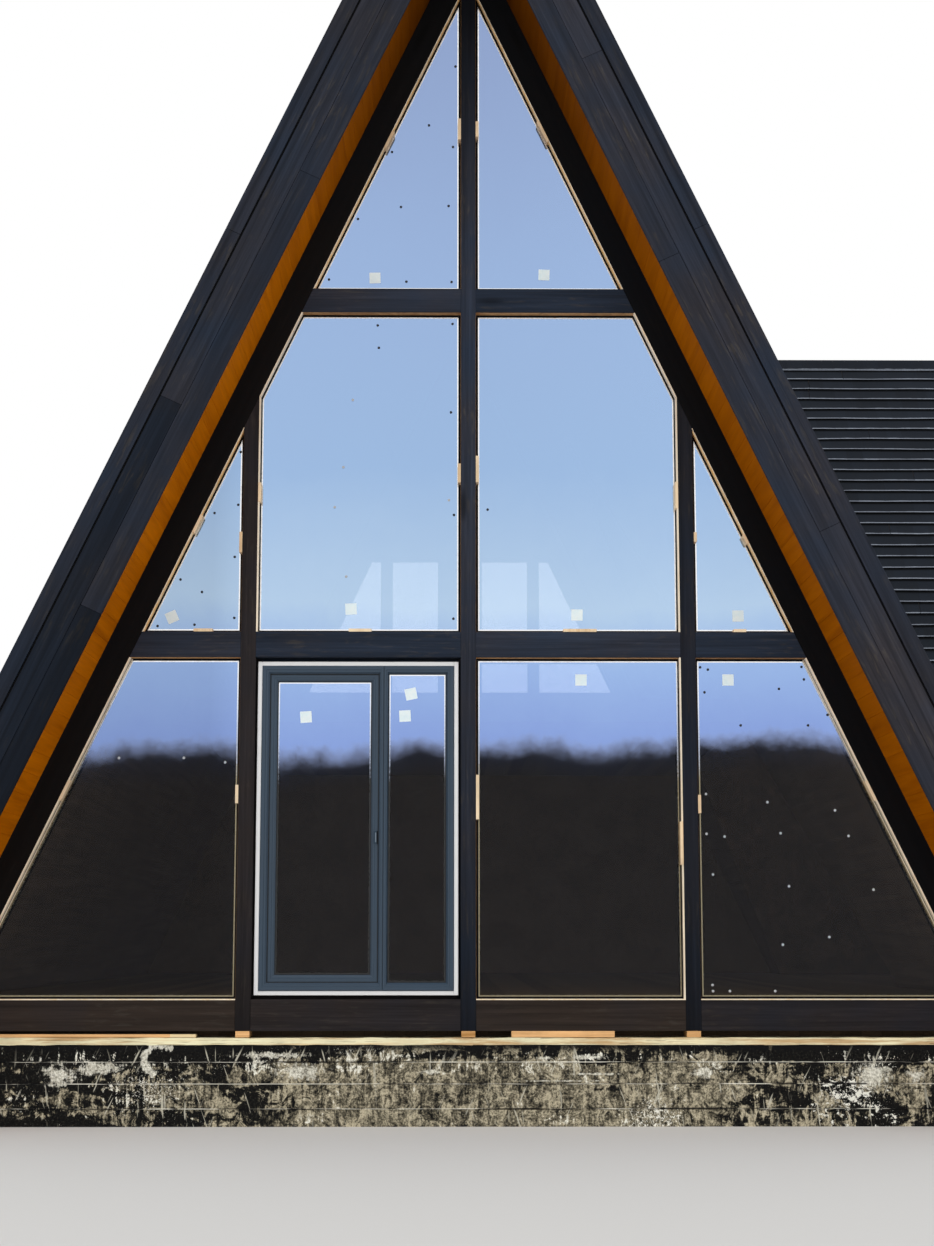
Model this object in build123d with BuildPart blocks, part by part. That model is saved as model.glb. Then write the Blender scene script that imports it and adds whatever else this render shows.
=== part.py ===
# An A-frame cabin with a rebated timber gable glazed from sill to ridge, a lower cross wing on
# its right and a strip foundation. X runs to the right along the glazed gable, Y to the back
# and Z up from the lowest ground. The origin is the middle of the front footing's underside.
import os
from math import cos, radians, sin, tan

from build123d import *

# Driving dimensions, in millimetres and degrees

# Main body
roof_pitch = 64.8
opening_apex = 7760
body_depth = 10400
gable_overhang = 580
eave_height = 350

# Strip foundation and the boards on it
footing_width = 300
footing_height = 510
footing_roof_gap = 32
footing_joint = 0.5
sill_board_width = 250
sill_board_thickness = 50
board_joint = 0.6
packing_height = 40

# Floors
floor_roof_gap = 6
loft_start = 4200
loft_underside = 3020
loft_thickness = 200

# Timber frame of the glazed gable
timber_width = 100
timber_depth = 200
rafter_depth = 200
rail_height = 200
mid_beam_underside = 3020
mid_beam_height = 170
collar_drop = 2390
collar_height = 165
side_post_offset = 1450

# Glazing rebates and panes
rebate_depth = 110
stop_width = 20
pane_thickness = 40
pane_gap = 12

# Glazed door unit
unit_side_gap = 15
unit_end_gap = 25
strip_width = 28
strip_depth = 70
frame_depth = 82
frame_face = 52
frame_lip = 20
frame_step = 15
mullion_face = 60
sidelight_width = 380
sash_face = 50
sash_gap = 9
sash_lip_gap = 5
door_pane_setback = 12
handle_height = 1840

# Door hinges, on the room side
hinge_end_distance = 220
hinge_setout = 14
knuckle_radius = 9
knuckle_length = 45
pin_radius = 4
pin_length = 38
pin_clearance = 0.3
hinge_arm_thickness = 6
hinge_pad_start = 12
hinge_pad_end = 36

# Frames of the loft and wing windows
window_setback = 60
window_depth = 70
window_face = 35
window_lip = 20
glazing_groove = 15
unit_pane_thickness = 28

# Main roof build-up, measured square to the slope
roof_thickness = 365
edge_rise = 13
soffit_thickness = 30
fascia_thickness = 25
fascia_board = 145
fascia_seam = 2
fascia_groove = 14
ridge_cap_reach = 120

# Rear gable wall
gable_wall = 200
rear_sill_height = 720
rear_pier_half = 215
rear_pane_width = 600
rear_post_width = 60
rear_edge_width = 205

# Cross wing
wing_pitch = 60
wing_ridge_offset = 6500
wing_ridge_height = 6860
wing_roof_thickness = 350
wing_wall_face = 5600
wing_overhang = 400
wing_footing_gap = 7
wing_board_gap = 18
wing_floor_gap = 30
wing_sill = 1700
wing_head = 3020
wing_pane_width = 1100
wing_pier_width = 160

# Places worked out from the driving dimensions
front = -footing_width / 2
back = front + body_depth
portal_back = front + timber_depth
stop_face = front + rebate_depth
pane_front = stop_face - pane_thickness
board_bottom = footing_height
board_top = board_bottom + sill_board_thickness
rail_bottom = board_top + packing_height
rail_top = rail_bottom + rail_height
floor_top = rail_top
mid_beam_top = mid_beam_underside + mid_beam_height
collar_underside = opening_apex - collar_drop
collar_top = collar_underside + collar_height
half_timber = timber_width / 2
post_inner = side_post_offset - half_timber
post_outer = side_post_offset + half_timber
slope = radians(roof_pitch)
stop_apex = opening_apex - stop_width / cos(slope)
deck_apex = opening_apex + rafter_depth / cos(slope)
cover_apex = deck_apex + roof_thickness / cos(slope)
edge_apex = cover_apex + edge_rise / cos(slope)
soffit_apex = deck_apex - soffit_thickness / cos(slope)
verge_front = front - gable_overhang
verge_back = back + gable_overhang
wing_slope = radians(wing_pitch)
wing_ridge_y = front + wing_ridge_offset
wing_cover_apex = wing_ridge_height - edge_rise / cos(wing_slope)
wing_deck_apex = wing_cover_apex - wing_roof_thickness / cos(wing_slope)
wing_end = wing_wall_face + wing_overhang
window_bead = window_depth - window_lip - unit_pane_thickness


def gable_plane(y):
    """A plane that faces the front: its x is X and its y is Z."""
    return Plane(origin=(0, y, 0), x_dir=(1, 0, 0), z_dir=(0, -1, 0))


def side_plane(x):
    """A plane that faces the right: its x is Y and its y is Z."""
    return Plane(origin=(x, 0, 0), x_dir=(0, 1, 0), z_dir=(1, 0, 0))


def half_span(apex, z):
    """Half the width, at height z, of the two slope planes that meet at the given apex."""
    return (apex - z) / tan(slope)


def wing_half_span(apex, z):
    """The same for the wing's steeper or flatter pair of slopes."""
    return (apex - z) / tan(wing_slope)


# How far the footings, boards and floors reach, each just inside the roof at its own top
footing_reach = half_span(deck_apex, footing_height) - footing_roof_gap
floor_reach = half_span(deck_apex, floor_top) - floor_roof_gap
wing_footing_reach = wing_half_span(wing_deck_apex, footing_height) - wing_footing_gap
wing_board_reach = wing_half_span(wing_deck_apex, board_top) - wing_board_gap
wing_floor_reach = wing_half_span(wing_deck_apex, floor_top) - wing_floor_gap


def mirrored(outline):
    """The outline on the other side of the centre line."""
    return [(-x, z) for x, z in outline]


def both_sides(outline):
    return [mirrored(outline), outline]


def gable_prisms(outlines, y, thickness):
    """Upright outlines, seen from the front, made solid from y towards the back."""
    with BuildPart() as piece:
        for outline in outlines:
            with BuildSketch(gable_plane(y)):
                with BuildLine():
                    Polyline(*outline, close=True)
                make_face()
            extrude(amount=-thickness)
    return piece.part


def side_prisms(outlines, x, thickness):
    """Upright outlines, seen from the right, made solid from x towards the right."""
    with BuildPart() as piece:
        for outline in outlines:
            with BuildSketch(side_plane(x)):
                with BuildLine():
                    Polyline(*outline, close=True)
                make_face()
            extrude(amount=thickness)
    return piece.part


def layered_rings(outlines, plane_at, direction, layers):
    """Frames along closed outlines: each layer has its start, its depth and the width of its face."""
    with BuildPart() as rings:
        for start, depth, face in layers:
            for outline in outlines:
                with BuildSketch(plane_at(start)):
                    with BuildLine():
                        Polyline(*outline, close=True)
                    make_face()
                    offset(amount=-face, kind=Kind.INTERSECTION, mode=Mode.SUBTRACT)
                extrude(amount=direction * depth)
    return rings.part


def inset_panes(outlines, plane_at, direction, start, inset):
    """Sealed panes that reach to the given distance inside each outline."""
    with BuildPart() as panes:
        for outline in outlines:
            with BuildSketch(plane_at(start)):
                with BuildLine():
                    Polyline(*outline, close=True)
                make_face()
                offset(amount=-inset, kind=Kind.INTERSECTION, mode=Mode.REPLACE)
            extrude(amount=direction * unit_pane_thickness)
    return panes.part


def box_outline(x0, x1, z0, z1):
    return [(x0, z0), (x1, z0), (x1, z1), (x0, z1)]


def slabs(boxes):
    """Level boxes, each given by its low and high x, y and z."""
    with BuildPart() as piece:
        for (x0, x1), (y0, y1), (z0, z1) in boxes:
            with BuildSketch(Plane.XY.offset(z0)):
                with Locations(((x0 + x1) / 2, (y0 + y1) / 2)):
                    Rectangle(x1 - x0, y1 - y0)
            extrude(amount=z1 - z0)
    return piece.part


def timbers(front_outlines, back_outlines):
    """Rebated timbers: a slim front face and, behind the panes, a wider part with the stops."""
    with BuildPart() as piece:
        for outline in front_outlines:
            with BuildSketch(gable_plane(front)):
                with BuildLine():
                    Polyline(*outline, close=True)
                make_face()
            extrude(amount=-rebate_depth)
        for outline in back_outlines:
            with BuildSketch(gable_plane(stop_face)):
                with BuildLine():
                    Polyline(*outline, close=True)
                make_face()
            extrude(amount=rebate_depth - timber_depth)
    return piece.part


def save(part, node):
    part.label = node
    export_step(part, f"parts/{node}.step")


os.makedirs("parts", exist_ok=True)


# Foundation strips, cast with plain butt joints

def footings():
    inner = footing_reach - footing_width
    strip_start = front + footing_width + footing_joint
    strip_end = back - footing_width - footing_joint
    whole = (-footing_reach, footing_reach)
    height = (0, footing_height)
    return slabs([
        (whole, (front, front + footing_width), height),
        (whole, (back - footing_width, back), height),
        ((-footing_reach, -inner), (strip_start, strip_end), height),
        ((inner, footing_reach), (strip_start, strip_end), height),
    ])


def wing_footings():
    height = (0, footing_height)
    inner = wing_footing_reach - footing_width
    length = (footing_reach, wing_wall_face)
    low, high = wing_ridge_y - inner + footing_joint, wing_ridge_y + inner - footing_joint
    return slabs([
        (length, (wing_ridge_y - wing_footing_reach, wing_ridge_y - inner), height),
        (length, (wing_ridge_y + inner, wing_ridge_y + wing_footing_reach), height),
        ((wing_wall_face - footing_width, wing_wall_face), (low, high), height),
    ])


save(footings(), "foundation")
save(wing_footings(), "wing_foundation")


# Sill boards on the footings, and the packing between the front board and the frame

def sill_boards():
    inner = footing_reach - sill_board_width
    start = front + sill_board_width + board_joint
    end = back - sill_board_width - board_joint
    whole = (-footing_reach, footing_reach)
    height = (board_bottom, board_top)
    return slabs([
        (whole, (front, front + sill_board_width), height),
        (whole, (back - sill_board_width, back), height),
        ((-footing_reach, -inner), (start, end), height),
        ((inner, footing_reach), (start, end), height),
    ])


def wing_sill_boards():
    height = (board_bottom, board_top)
    inner = wing_board_reach - sill_board_width
    length = (footing_reach + board_joint, wing_wall_face)
    low, high = wing_ridge_y - inner + board_joint, wing_ridge_y + inner - board_joint
    return slabs([
        (length, (wing_ridge_y - wing_board_reach, wing_ridge_y - inner), height),
        (length, (wing_ridge_y + inner, wing_ridge_y + wing_board_reach), height),
        ((wing_wall_face - sill_board_width, wing_wall_face), (low, high), height),
    ])


block_width = 90
long_lath_reach = (277, 940)
thin_lath_reach = (-3090, -1748)
thin_lath_height = 20
rafter_foot = half_span(opening_apex, rail_bottom)


def packing():
    """Blocks under the posts and rafter feet, and two laths left on the sill board."""
    depth = (front, portal_back)
    height = (board_top, rail_bottom)
    half = block_width / 2
    block_middles = (-rafter_foot - half, -side_post_offset, 0, side_post_offset, rafter_foot + half)
    blocks = [((x - half, x + half), depth, height) for x in block_middles]
    lath_y = (front, front + block_width)
    long_lath = (long_lath_reach, lath_y, height)
    thin_lath = (thin_lath_reach, lath_y, (board_top, board_top + thin_lath_height))
    return slabs(blocks + [long_lath, thin_lath])


save(sill_boards(), "sill_boards")
save(wing_sill_boards(), "wing_sill_boards")
save(packing(), "packing_blocks")


# Floors

wall_inside = back - gable_wall
loft_top = loft_underside + loft_thickness
wing_wall_inside = wing_wall_face - gable_wall
save(slabs([((-floor_reach, floor_reach), (portal_back, wall_inside), (board_top, floor_top))]), "floor_deck")
save(slabs([((floor_reach, wing_wall_inside),
             (wing_ridge_y - wing_floor_reach, wing_ridge_y + wing_floor_reach),
             (board_top, floor_top))]), "wing_floor")
loft_outline = [
    (-half_span(deck_apex, loft_underside), loft_underside),
    (half_span(deck_apex, loft_underside), loft_underside),
    (half_span(deck_apex, loft_top), loft_top),
    (-half_span(deck_apex, loft_top), loft_top),
]
save(gable_prisms([loft_outline], front + loft_start, wall_inside - front - loft_start), "loft_floor")


# Glazed gable: posts, rafters and cross pieces, all rebated from the outside for the panes

def post_outline(left, right, apex):
    """A post between two upright lines, cut at the top by the slope with the given apex."""
    def top(x):
        return apex - abs(x) * tan(slope)
    points = [(left, rail_bottom), (right, rail_bottom), (right, top(right))]
    if left < 0 < right:
        points.append((0, apex))
    return points + [(left, top(left))]


def centre_post():
    reach = half_timber + stop_width
    return timbers([post_outline(-half_timber, half_timber, deck_apex)],
                   [post_outline(-reach, reach, deck_apex)])


def side_posts():
    front_post = post_outline(post_inner, post_outer, opening_apex)
    back_post = post_outline(post_inner - stop_width, post_outer + stop_width, stop_apex)
    return timbers(both_sides(front_post), both_sides(back_post))


def rafter_outline(low_apex, centre):
    """A rafter from its foot, level with the rails, to its plumb cut beside the centre post."""
    return [
        (half_span(low_apex, rail_bottom), rail_bottom),
        (half_span(deck_apex, rail_bottom), rail_bottom),
        (centre, deck_apex - centre * tan(slope)),
        (centre, low_apex - centre * tan(slope)),
    ]


def front_rafters():
    return timbers(both_sides(rafter_outline(opening_apex, half_timber)),
                   both_sides(rafter_outline(stop_apex, half_timber + stop_width)))


def cross_outlines(bottom, top, apex, spread):
    """One level piece on the right, split by the side post: a middle and an outer length."""
    inner = [(half_timber + spread, bottom), (post_inner - spread, bottom),
             (post_inner - spread, top), (half_timber + spread, top)]
    outer = [(post_outer + spread, bottom), (half_span(apex, bottom), bottom),
             (half_span(apex, top), top), (post_outer + spread, top)]
    return inner, outer


def cross_pieces(bottom, top, lower_stop, upper_stop):
    """Level timbers between the posts and out to the rafters, on both sides."""
    fronts = cross_outlines(bottom, top, opening_apex, 0)
    backs = cross_outlines(bottom - lower_stop, top + upper_stop, stop_apex, stop_width)
    return timbers(
        [side for outline in fronts for side in both_sides(outline)],
        [side for outline in backs for side in both_sides(outline)],
    )


def collar_outline(bottom, top, apex, spread):
    return [(half_timber + spread, bottom), (half_span(apex, bottom), bottom),
            (half_span(apex, top), top), (half_timber + spread, top)]


def collar_beams():
    return timbers(
        both_sides(collar_outline(collar_underside, collar_top, opening_apex, 0)),
        both_sides(collar_outline(collar_underside - stop_width, collar_top + stop_width,
                                  stop_apex, stop_width)),
    )


save(centre_post(), "centre_post")
save(side_posts(), "side_posts")
save(front_rafters(), "front_rafters")
save(cross_pieces(rail_bottom, rail_top, 0, stop_width), "bottom_rails")
save(cross_pieces(mid_beam_underside, mid_beam_top, stop_width, stop_width), "mid_beams")
save(collar_beams(), "collar_beams")


# Panes, each laid against its stops with an open joint all round

pane_apex = opening_apex - pane_gap / cos(slope)
pane_centre = half_timber + pane_gap
pane_post_inner = post_inner - pane_gap
pane_post_outer = post_outer + pane_gap


def slope_height(x):
    """The height at which a pane's slanted edge passes the distance x from the centre line."""
    return pane_apex - x * tan(slope)


top_pane = [
    (pane_centre, collar_top + pane_gap),
    (half_span(pane_apex, collar_top + pane_gap), collar_top + pane_gap),
    (pane_centre, slope_height(pane_centre)),
]
upper_pane = [
    (pane_centre, mid_beam_top + pane_gap),
    (pane_post_inner, mid_beam_top + pane_gap),
    (pane_post_inner, slope_height(pane_post_inner)),
    (half_span(pane_apex, collar_underside - pane_gap), collar_underside - pane_gap),
    (pane_centre, collar_underside - pane_gap),
]
side_pane = [
    (pane_post_outer, mid_beam_top + pane_gap),
    (half_span(pane_apex, mid_beam_top + pane_gap), mid_beam_top + pane_gap),
    (pane_post_outer, slope_height(pane_post_outer)),
]
lower_side_pane = [
    (pane_post_outer, rail_top + pane_gap),
    (half_span(pane_apex, rail_top + pane_gap), rail_top + pane_gap),
    (half_span(pane_apex, mid_beam_underside - pane_gap), mid_beam_underside - pane_gap),
    (pane_post_outer, mid_beam_underside - pane_gap),
]
lower_right_pane = [
    (pane_centre, rail_top + pane_gap),
    (pane_post_inner, rail_top + pane_gap),
    (pane_post_inner, mid_beam_underside - pane_gap),
    (pane_centre, mid_beam_underside - pane_gap),
]
save(gable_prisms(both_sides(top_pane), pane_front, pane_thickness), "top_glass")
save(gable_prisms(both_sides(upper_pane), pane_front, pane_thickness), "upper_glass")
save(gable_prisms(both_sides(side_pane), pane_front, pane_thickness), "side_glass")
save(gable_prisms(both_sides(lower_side_pane), pane_front, pane_thickness), "lower_side_glass")
save(gable_prisms([lower_right_pane], pane_front, pane_thickness), "lower_right_glass")


# Door unit in the bay left of the centre post: a leaf that opens inwards beside a fixed sidelight

unit_left = -post_inner + unit_side_gap
unit_right = -half_timber - unit_side_gap
unit_bottom = rail_top + unit_end_gap
unit_top = mid_beam_underside - unit_end_gap
unit_front = stop_face - frame_depth
frame_left = unit_left + strip_width
frame_right = unit_right - strip_width
frame_bottom = unit_bottom + strip_width
frame_top = unit_top - strip_width
sidelight_right = frame_right - frame_face
sidelight_left = sidelight_right - sidelight_width
leaf_view_left = frame_left + frame_face
leaf_view_right = sidelight_left - mullion_face
view_bottom = frame_bottom + frame_face
view_top = frame_top - frame_face


def rectangle_between(x0, x1, z0, z1, mode=Mode.ADD):
    """A rectangle between two upright and two level lines, in the open sketch."""
    with Locations(((x0 + x1) / 2, (z0 + z1) / 2)):
        Rectangle(x1 - x0, z1 - z0, mode=mode)


def mounting_strip():
    """Four lengths of pale board round the frame, butted at the corners."""
    with BuildPart() as strip:
        with BuildSketch(gable_plane(stop_face - strip_depth)):
            rectangle_between(unit_left, frame_left, unit_bottom, unit_top)
            rectangle_between(frame_right, unit_right, unit_bottom, unit_top)
            low, high = frame_left + board_joint, frame_right - board_joint
            rectangle_between(low, high, unit_bottom, frame_bottom)
            rectangle_between(low, high, frame_top, unit_top)
        extrude(amount=-strip_depth)
    return strip.part


def door_frame():
    """Outer frame and mullion: a lip in front, a rebate for the leaf, a groove for the sidelight."""
    groove_front = unit_front + frame_lip
    bead_front = groove_front + unit_pane_thickness
    layers = (
        (unit_front, frame_lip, 0, 0),
        (groove_front, unit_pane_thickness, frame_step, glazing_groove),
        (bead_front, stop_face - bead_front, frame_step, 0),
    )
    with BuildPart() as frame:
        for y, depth, leaf_step, light_step in layers:
            with BuildSketch(gable_plane(y)):
                rectangle_between(frame_left, frame_right, frame_bottom, frame_top)
                for left, right, step in ((leaf_view_left, leaf_view_right, leaf_step),
                                          (sidelight_left, sidelight_right, light_step)):
                    rectangle_between(left - step, right + step, view_bottom - step, view_top + step,
                                      mode=Mode.SUBTRACT)
            extrude(amount=-depth)
    return frame.part


leaf_left = leaf_view_left - frame_step + sash_gap
leaf_right = leaf_view_right + frame_step - sash_gap
leaf_bottom = view_bottom - frame_step + sash_gap
leaf_top = view_top + frame_step - sash_gap
leaf_front = unit_front + frame_lip + sash_lip_gap
leaf_back = stop_face
leaf_pane_right = leaf_view_right - sash_face
leaf_groove_front = leaf_front + door_pane_setback
leaf_bead_front = leaf_groove_front + unit_pane_thickness
leaf_member = sash_face + frame_step - sash_gap
leaf_outline = box_outline(leaf_left, leaf_right, leaf_bottom, leaf_top)
sidelight_outline = box_outline(sidelight_left, sidelight_right, view_bottom, view_top)


def door_leaf():
    """Four stiles and rails in one welded sash, grooved for its pane."""
    return layered_rings([leaf_outline], gable_plane, -1, (
        (leaf_front, door_pane_setback, leaf_member),
        (leaf_groove_front, unit_pane_thickness, leaf_member - glazing_groove),
        (leaf_bead_front, leaf_back - leaf_bead_front, leaf_member),
    ))


pull_width = 18
pull_length = 82
pull_depth = 14
rose_width = 32
rose_length = 70
rose_depth = 10
neck_radius = 9
neck_length = 38
lever_length = 125
lever_width = 20
lever_depth = 12


def door_handle():
    """A small pull outside and, inside, a rose and a lever that hangs down when closed."""
    x = (leaf_pane_right + leaf_right) / 2
    with BuildPart() as handle:
        with BuildSketch(gable_plane(leaf_front)):
            with Locations((x, handle_height)):
                RectangleRounded(pull_width, pull_length, pull_width / 3)
        extrude(amount=pull_depth)
        with BuildSketch(gable_plane(leaf_back)):
            with Locations((x, handle_height)):
                RectangleRounded(rose_width, rose_length, rose_width / 3)
        extrude(amount=-rose_depth)
        with BuildSketch(gable_plane(leaf_back + rose_depth)):
            with Locations((x, handle_height)):
                Circle(neck_radius)
        extrude(amount=-neck_length)
        with BuildSketch(gable_plane(leaf_back + rose_depth + neck_length)):
            with Locations((x, handle_height - lever_length / 2 + lever_width / 2)):
                RectangleRounded(lever_width, lever_length, lever_width / 3)
        extrude(amount=-lever_depth)
    return handle.part


hinge_x = leaf_left - sash_gap / 2
hinge_y = leaf_back + hinge_setout
hinge_middles = (leaf_bottom + hinge_end_distance, (leaf_bottom + leaf_top) / 2, leaf_top - hinge_end_distance)


def half_hinges(direction, low_end):
    """One knuckle of each hinge, with an arm and pad that reach left (-1) or right (1) to their seat."""
    near = hinge_x + direction * hinge_pad_start
    far = hinge_x + direction * hinge_pad_end
    arm_back = hinge_y + hinge_arm_thickness / 2
    with BuildPart() as halves:
        for middle in hinge_middles:
            with BuildSketch(Plane.XY.offset(middle + low_end)):
                with Locations((hinge_x, hinge_y)):
                    Circle(knuckle_radius)
                rectangle_between(min(hinge_x, far), max(hinge_x, far), arm_back - hinge_arm_thickness, arm_back)
                rectangle_between(min(near, far), max(near, far), leaf_back, arm_back)
            extrude(amount=knuckle_length)
    return halves


def frame_hinges():
    """The lower knuckles, on the frame, with the pins that stand up out of them."""
    low_end = -knuckle_length - pin_clearance / 2
    with BuildPart() as pins:
        add(half_hinges(-1, low_end).part)
        for middle in hinge_middles:
            with BuildSketch(Plane.XY.offset(middle + low_end + knuckle_length)):
                with Locations((hinge_x, hinge_y)):
                    Circle(pin_radius)
            extrude(amount=pin_length)
    return pins.part


def leaf_hinges():
    """The upper knuckles, on the leaf, bored from below for the pins."""
    low_end = pin_clearance / 2
    with BuildPart() as knuckles:
        add(half_hinges(1, low_end).part)
        for middle in hinge_middles:
            with BuildSketch(Plane.XY.offset(middle + low_end)):
                with Locations((hinge_x, hinge_y)):
                    Circle(pin_radius + pin_clearance)
            extrude(amount=pin_length, mode=Mode.SUBTRACT)
    return knuckles.part


save(mounting_strip(), "door_mounting_strip")
save(door_frame(), "door_frame")
save(door_leaf(), "door_leaf")
save(inset_panes([leaf_outline], gable_plane, -1, leaf_groove_front, leaf_member - glazing_groove),
     "door_leaf_glass")
save(inset_panes([sidelight_outline], gable_plane, -1, unit_front + frame_lip, -glazing_groove),
     "sidelight_glass")
save(door_handle(), "door_handle")
save(frame_hinges(), "door_hinge_pins")
save(leaf_hinges(), "door_hinge_knuckles")


# Main roof: solid slopes, split round the mouth of the wing on the right

slab_start = verge_front + fascia_thickness
slab_length = verge_back - fascia_thickness - slab_start


def slope_band(low_apex, high_apex, bottom, centre=0):
    """A band of the right slope between two parallel planes, down to a level cut."""
    return [
        (half_span(low_apex, bottom), bottom),
        (half_span(high_apex, bottom), bottom),
        (centre, high_apex - centre * tan(slope)),
        (centre, low_apex - centre * tan(slope)),
    ]


def level_band(low_apex, high_apex, bottom, top):
    """A band of the right slope between two parallel planes and two level cuts."""
    return [
        (half_span(low_apex, bottom), bottom),
        (half_span(high_apex, bottom), bottom),
        (half_span(high_apex, top), top),
        (half_span(low_apex, top), top),
    ]


whole_slope = slope_band(deck_apex, cover_apex, eave_height)
upper_slope = slope_band(deck_apex, cover_apex, wing_deck_apex)
lower_slope = level_band(deck_apex, cover_apex, eave_height, wing_deck_apex)


def slope_beside_wing(start, length, y_direction):
    """The lower right slope on one side of the wing, cut along the wing's ceiling."""
    ceiling = Plane(origin=(0, wing_ridge_y, wing_deck_apex),
                    z_dir=(0, y_direction * sin(wing_slope), cos(wing_slope)))
    with BuildPart() as piece:
        with BuildSketch(gable_plane(start)):
            with BuildLine():
                Polyline(*lower_slope, close=True)
            make_face()
        extrude(amount=-length)
        split(bisect_by=ceiling, keep=Keep.TOP)
    return piece.part


cap_bottom = cover_apex - ridge_cap_reach * sin(slope)
ridge_cap_outline = [
    (0, cover_apex),
    (half_span(cover_apex, cap_bottom), cap_bottom),
    (half_span(edge_apex, cap_bottom), cap_bottom),
    (0, edge_apex),
    (-half_span(edge_apex, cap_bottom), cap_bottom),
    (-half_span(cover_apex, cap_bottom), cap_bottom),
]
save(gable_prisms([mirrored(whole_slope)], slab_start, slab_length), "roof_left")
save(gable_prisms([upper_slope], slab_start, slab_length), "roof_right_upper")
save(slope_beside_wing(slab_start, wing_ridge_y - slab_start, -1), "roof_right_front")
save(slope_beside_wing(wing_ridge_y, slab_start + slab_length - wing_ridge_y, 1), "roof_right_rear")
save(gable_prisms([ridge_cap_outline], slab_start, slab_length), "ridge_cap")


# Soffit boards under both overhangs, and the rake boards in front of them

soffit_band = slope_band(soffit_apex, deck_apex, eave_height, centre=board_joint / 2)
save(gable_prisms(both_sides(soffit_band), slab_start, front - slab_start), "front_soffit")
save(gable_prisms(both_sides(soffit_band), back, verge_back - fascia_thickness - back), "rear_soffit")


def rake_boards():
    """Outlines of the three rake boards on the right slope, from the lowest to the edge board."""
    across = 1 / cos(slope)
    first_top = soffit_apex + fascia_board * across
    second_bottom = first_top + fascia_seam * across
    second_top = second_bottom + fascia_board * across
    edge_bottom = second_top + fascia_groove * across
    bands = ((soffit_apex, first_top), (second_bottom, second_top), (edge_bottom, edge_apex))
    return [slope_band(low, high, eave_height, centre=board_joint / 2) for low, high in bands]


right_boards = rake_boards()
left_boards = [mirrored(outline) for outline in right_boards]
save(gable_prisms(left_boards, verge_front, fascia_thickness), "front_fascia_left")
save(gable_prisms(right_boards, verge_front, fascia_thickness), "front_fascia_right")
save(gable_prisms(left_boards + right_boards, verge_back - fascia_thickness, fascia_thickness), "rear_fascia")


# Rear gable wall with a row of four loft windows, their heads level with the top of the collar beams

rear_sill = loft_top + rear_sill_height
rear_head = collar_top
rear_pane_start = rear_pier_half
rear_pane_end = rear_pier_half + rear_pane_width
rear_outer_start = rear_pane_end + rear_post_width
edge_apex_inside = deck_apex - rear_edge_width / cos(slope)
rear_lower = [
    (-half_span(deck_apex, board_top), board_top),
    (half_span(deck_apex, board_top), board_top),
    (half_span(deck_apex, rear_sill), rear_sill),
    (-half_span(deck_apex, rear_sill), rear_sill),
]
rear_upper = [
    (-half_span(deck_apex, rear_head), rear_head),
    (half_span(deck_apex, rear_head), rear_head),
    (0, deck_apex),
]
rear_pier = box_outline(-rear_pier_half, rear_pier_half, rear_sill, rear_head)
rear_post = box_outline(rear_pane_end, rear_outer_start, rear_sill, rear_head)
rear_edge = level_band(edge_apex_inside, deck_apex, rear_sill, rear_head)
rear_pane = box_outline(rear_pane_start, rear_pane_end, rear_sill, rear_head)
rear_outer_pane = [
    (rear_outer_start, rear_sill),
    (half_span(edge_apex_inside, rear_sill), rear_sill),
    (half_span(edge_apex_inside, rear_head), rear_head),
    (rear_outer_start, rear_head),
]
save(gable_prisms([rear_lower], wall_inside, gable_wall), "rear_wall_lower")
save(gable_prisms([rear_upper], wall_inside, gable_wall), "rear_wall_upper")
save(gable_prisms([rear_pier] + both_sides(rear_post) + both_sides(rear_edge), wall_inside, gable_wall),
     "rear_wall_piers")
rear_windows = both_sides(rear_pane) + both_sides(rear_outer_pane)
rear_bead_front = back - window_setback - window_depth
rear_groove_front = rear_bead_front + window_bead
save(layered_rings(rear_windows, gable_plane, -1, (
    (rear_bead_front, window_bead, window_face),
    (rear_groove_front, unit_pane_thickness, window_face - glazing_groove),
    (rear_groove_front + unit_pane_thickness, window_lip, window_face),
)), "rear_window_frames")
save(inset_panes(rear_windows, gable_plane, -1, rear_groove_front, window_face - glazing_groove), "rear_glass")


# Cross wing: two slopes that die into the main roof, with a gable wall at the far end

def wing_band(low_apex, high_apex, bottom, y_direction):
    """A band of one wing slope, seen from the right, down to a level cut."""
    return [
        (wing_ridge_y + y_direction * wing_half_span(low_apex, bottom), bottom),
        (wing_ridge_y + y_direction * wing_half_span(high_apex, bottom), bottom),
        (wing_ridge_y, high_apex),
        (wing_ridge_y, low_apex),
    ]


def wing_length(outline, length):
    """An outline run along the wing from the main ridge and cut off at the main roof's cover."""
    cover = Plane(origin=(0, 0, cover_apex), z_dir=(sin(slope), 0, cos(slope)))
    with BuildPart() as piece:
        with BuildSketch(side_plane(0)):
            with BuildLine():
                Polyline(*outline, close=True)
            make_face()
        extrude(amount=length)
        split(bisect_by=cover, keep=Keep.TOP)
    return piece.part


wing_slab_end = wing_end - fascia_thickness
wing_cap_bottom = wing_cover_apex - ridge_cap_reach * sin(wing_slope)
wing_cap_outline = [
    (wing_ridge_y, wing_cover_apex),
    (wing_ridge_y + wing_half_span(wing_cover_apex, wing_cap_bottom), wing_cap_bottom),
    (wing_ridge_y + wing_half_span(wing_ridge_height, wing_cap_bottom), wing_cap_bottom),
    (wing_ridge_y, wing_ridge_height),
    (wing_ridge_y - wing_half_span(wing_ridge_height, wing_cap_bottom), wing_cap_bottom),
    (wing_ridge_y - wing_half_span(wing_cover_apex, wing_cap_bottom), wing_cap_bottom),
]
save(wing_length(wing_band(wing_deck_apex, wing_cover_apex, eave_height, -1), wing_slab_end),
     "wing_roof_front")
save(wing_length(wing_band(wing_deck_apex, wing_cover_apex, eave_height, 1), wing_slab_end),
     "wing_roof_rear")
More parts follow.
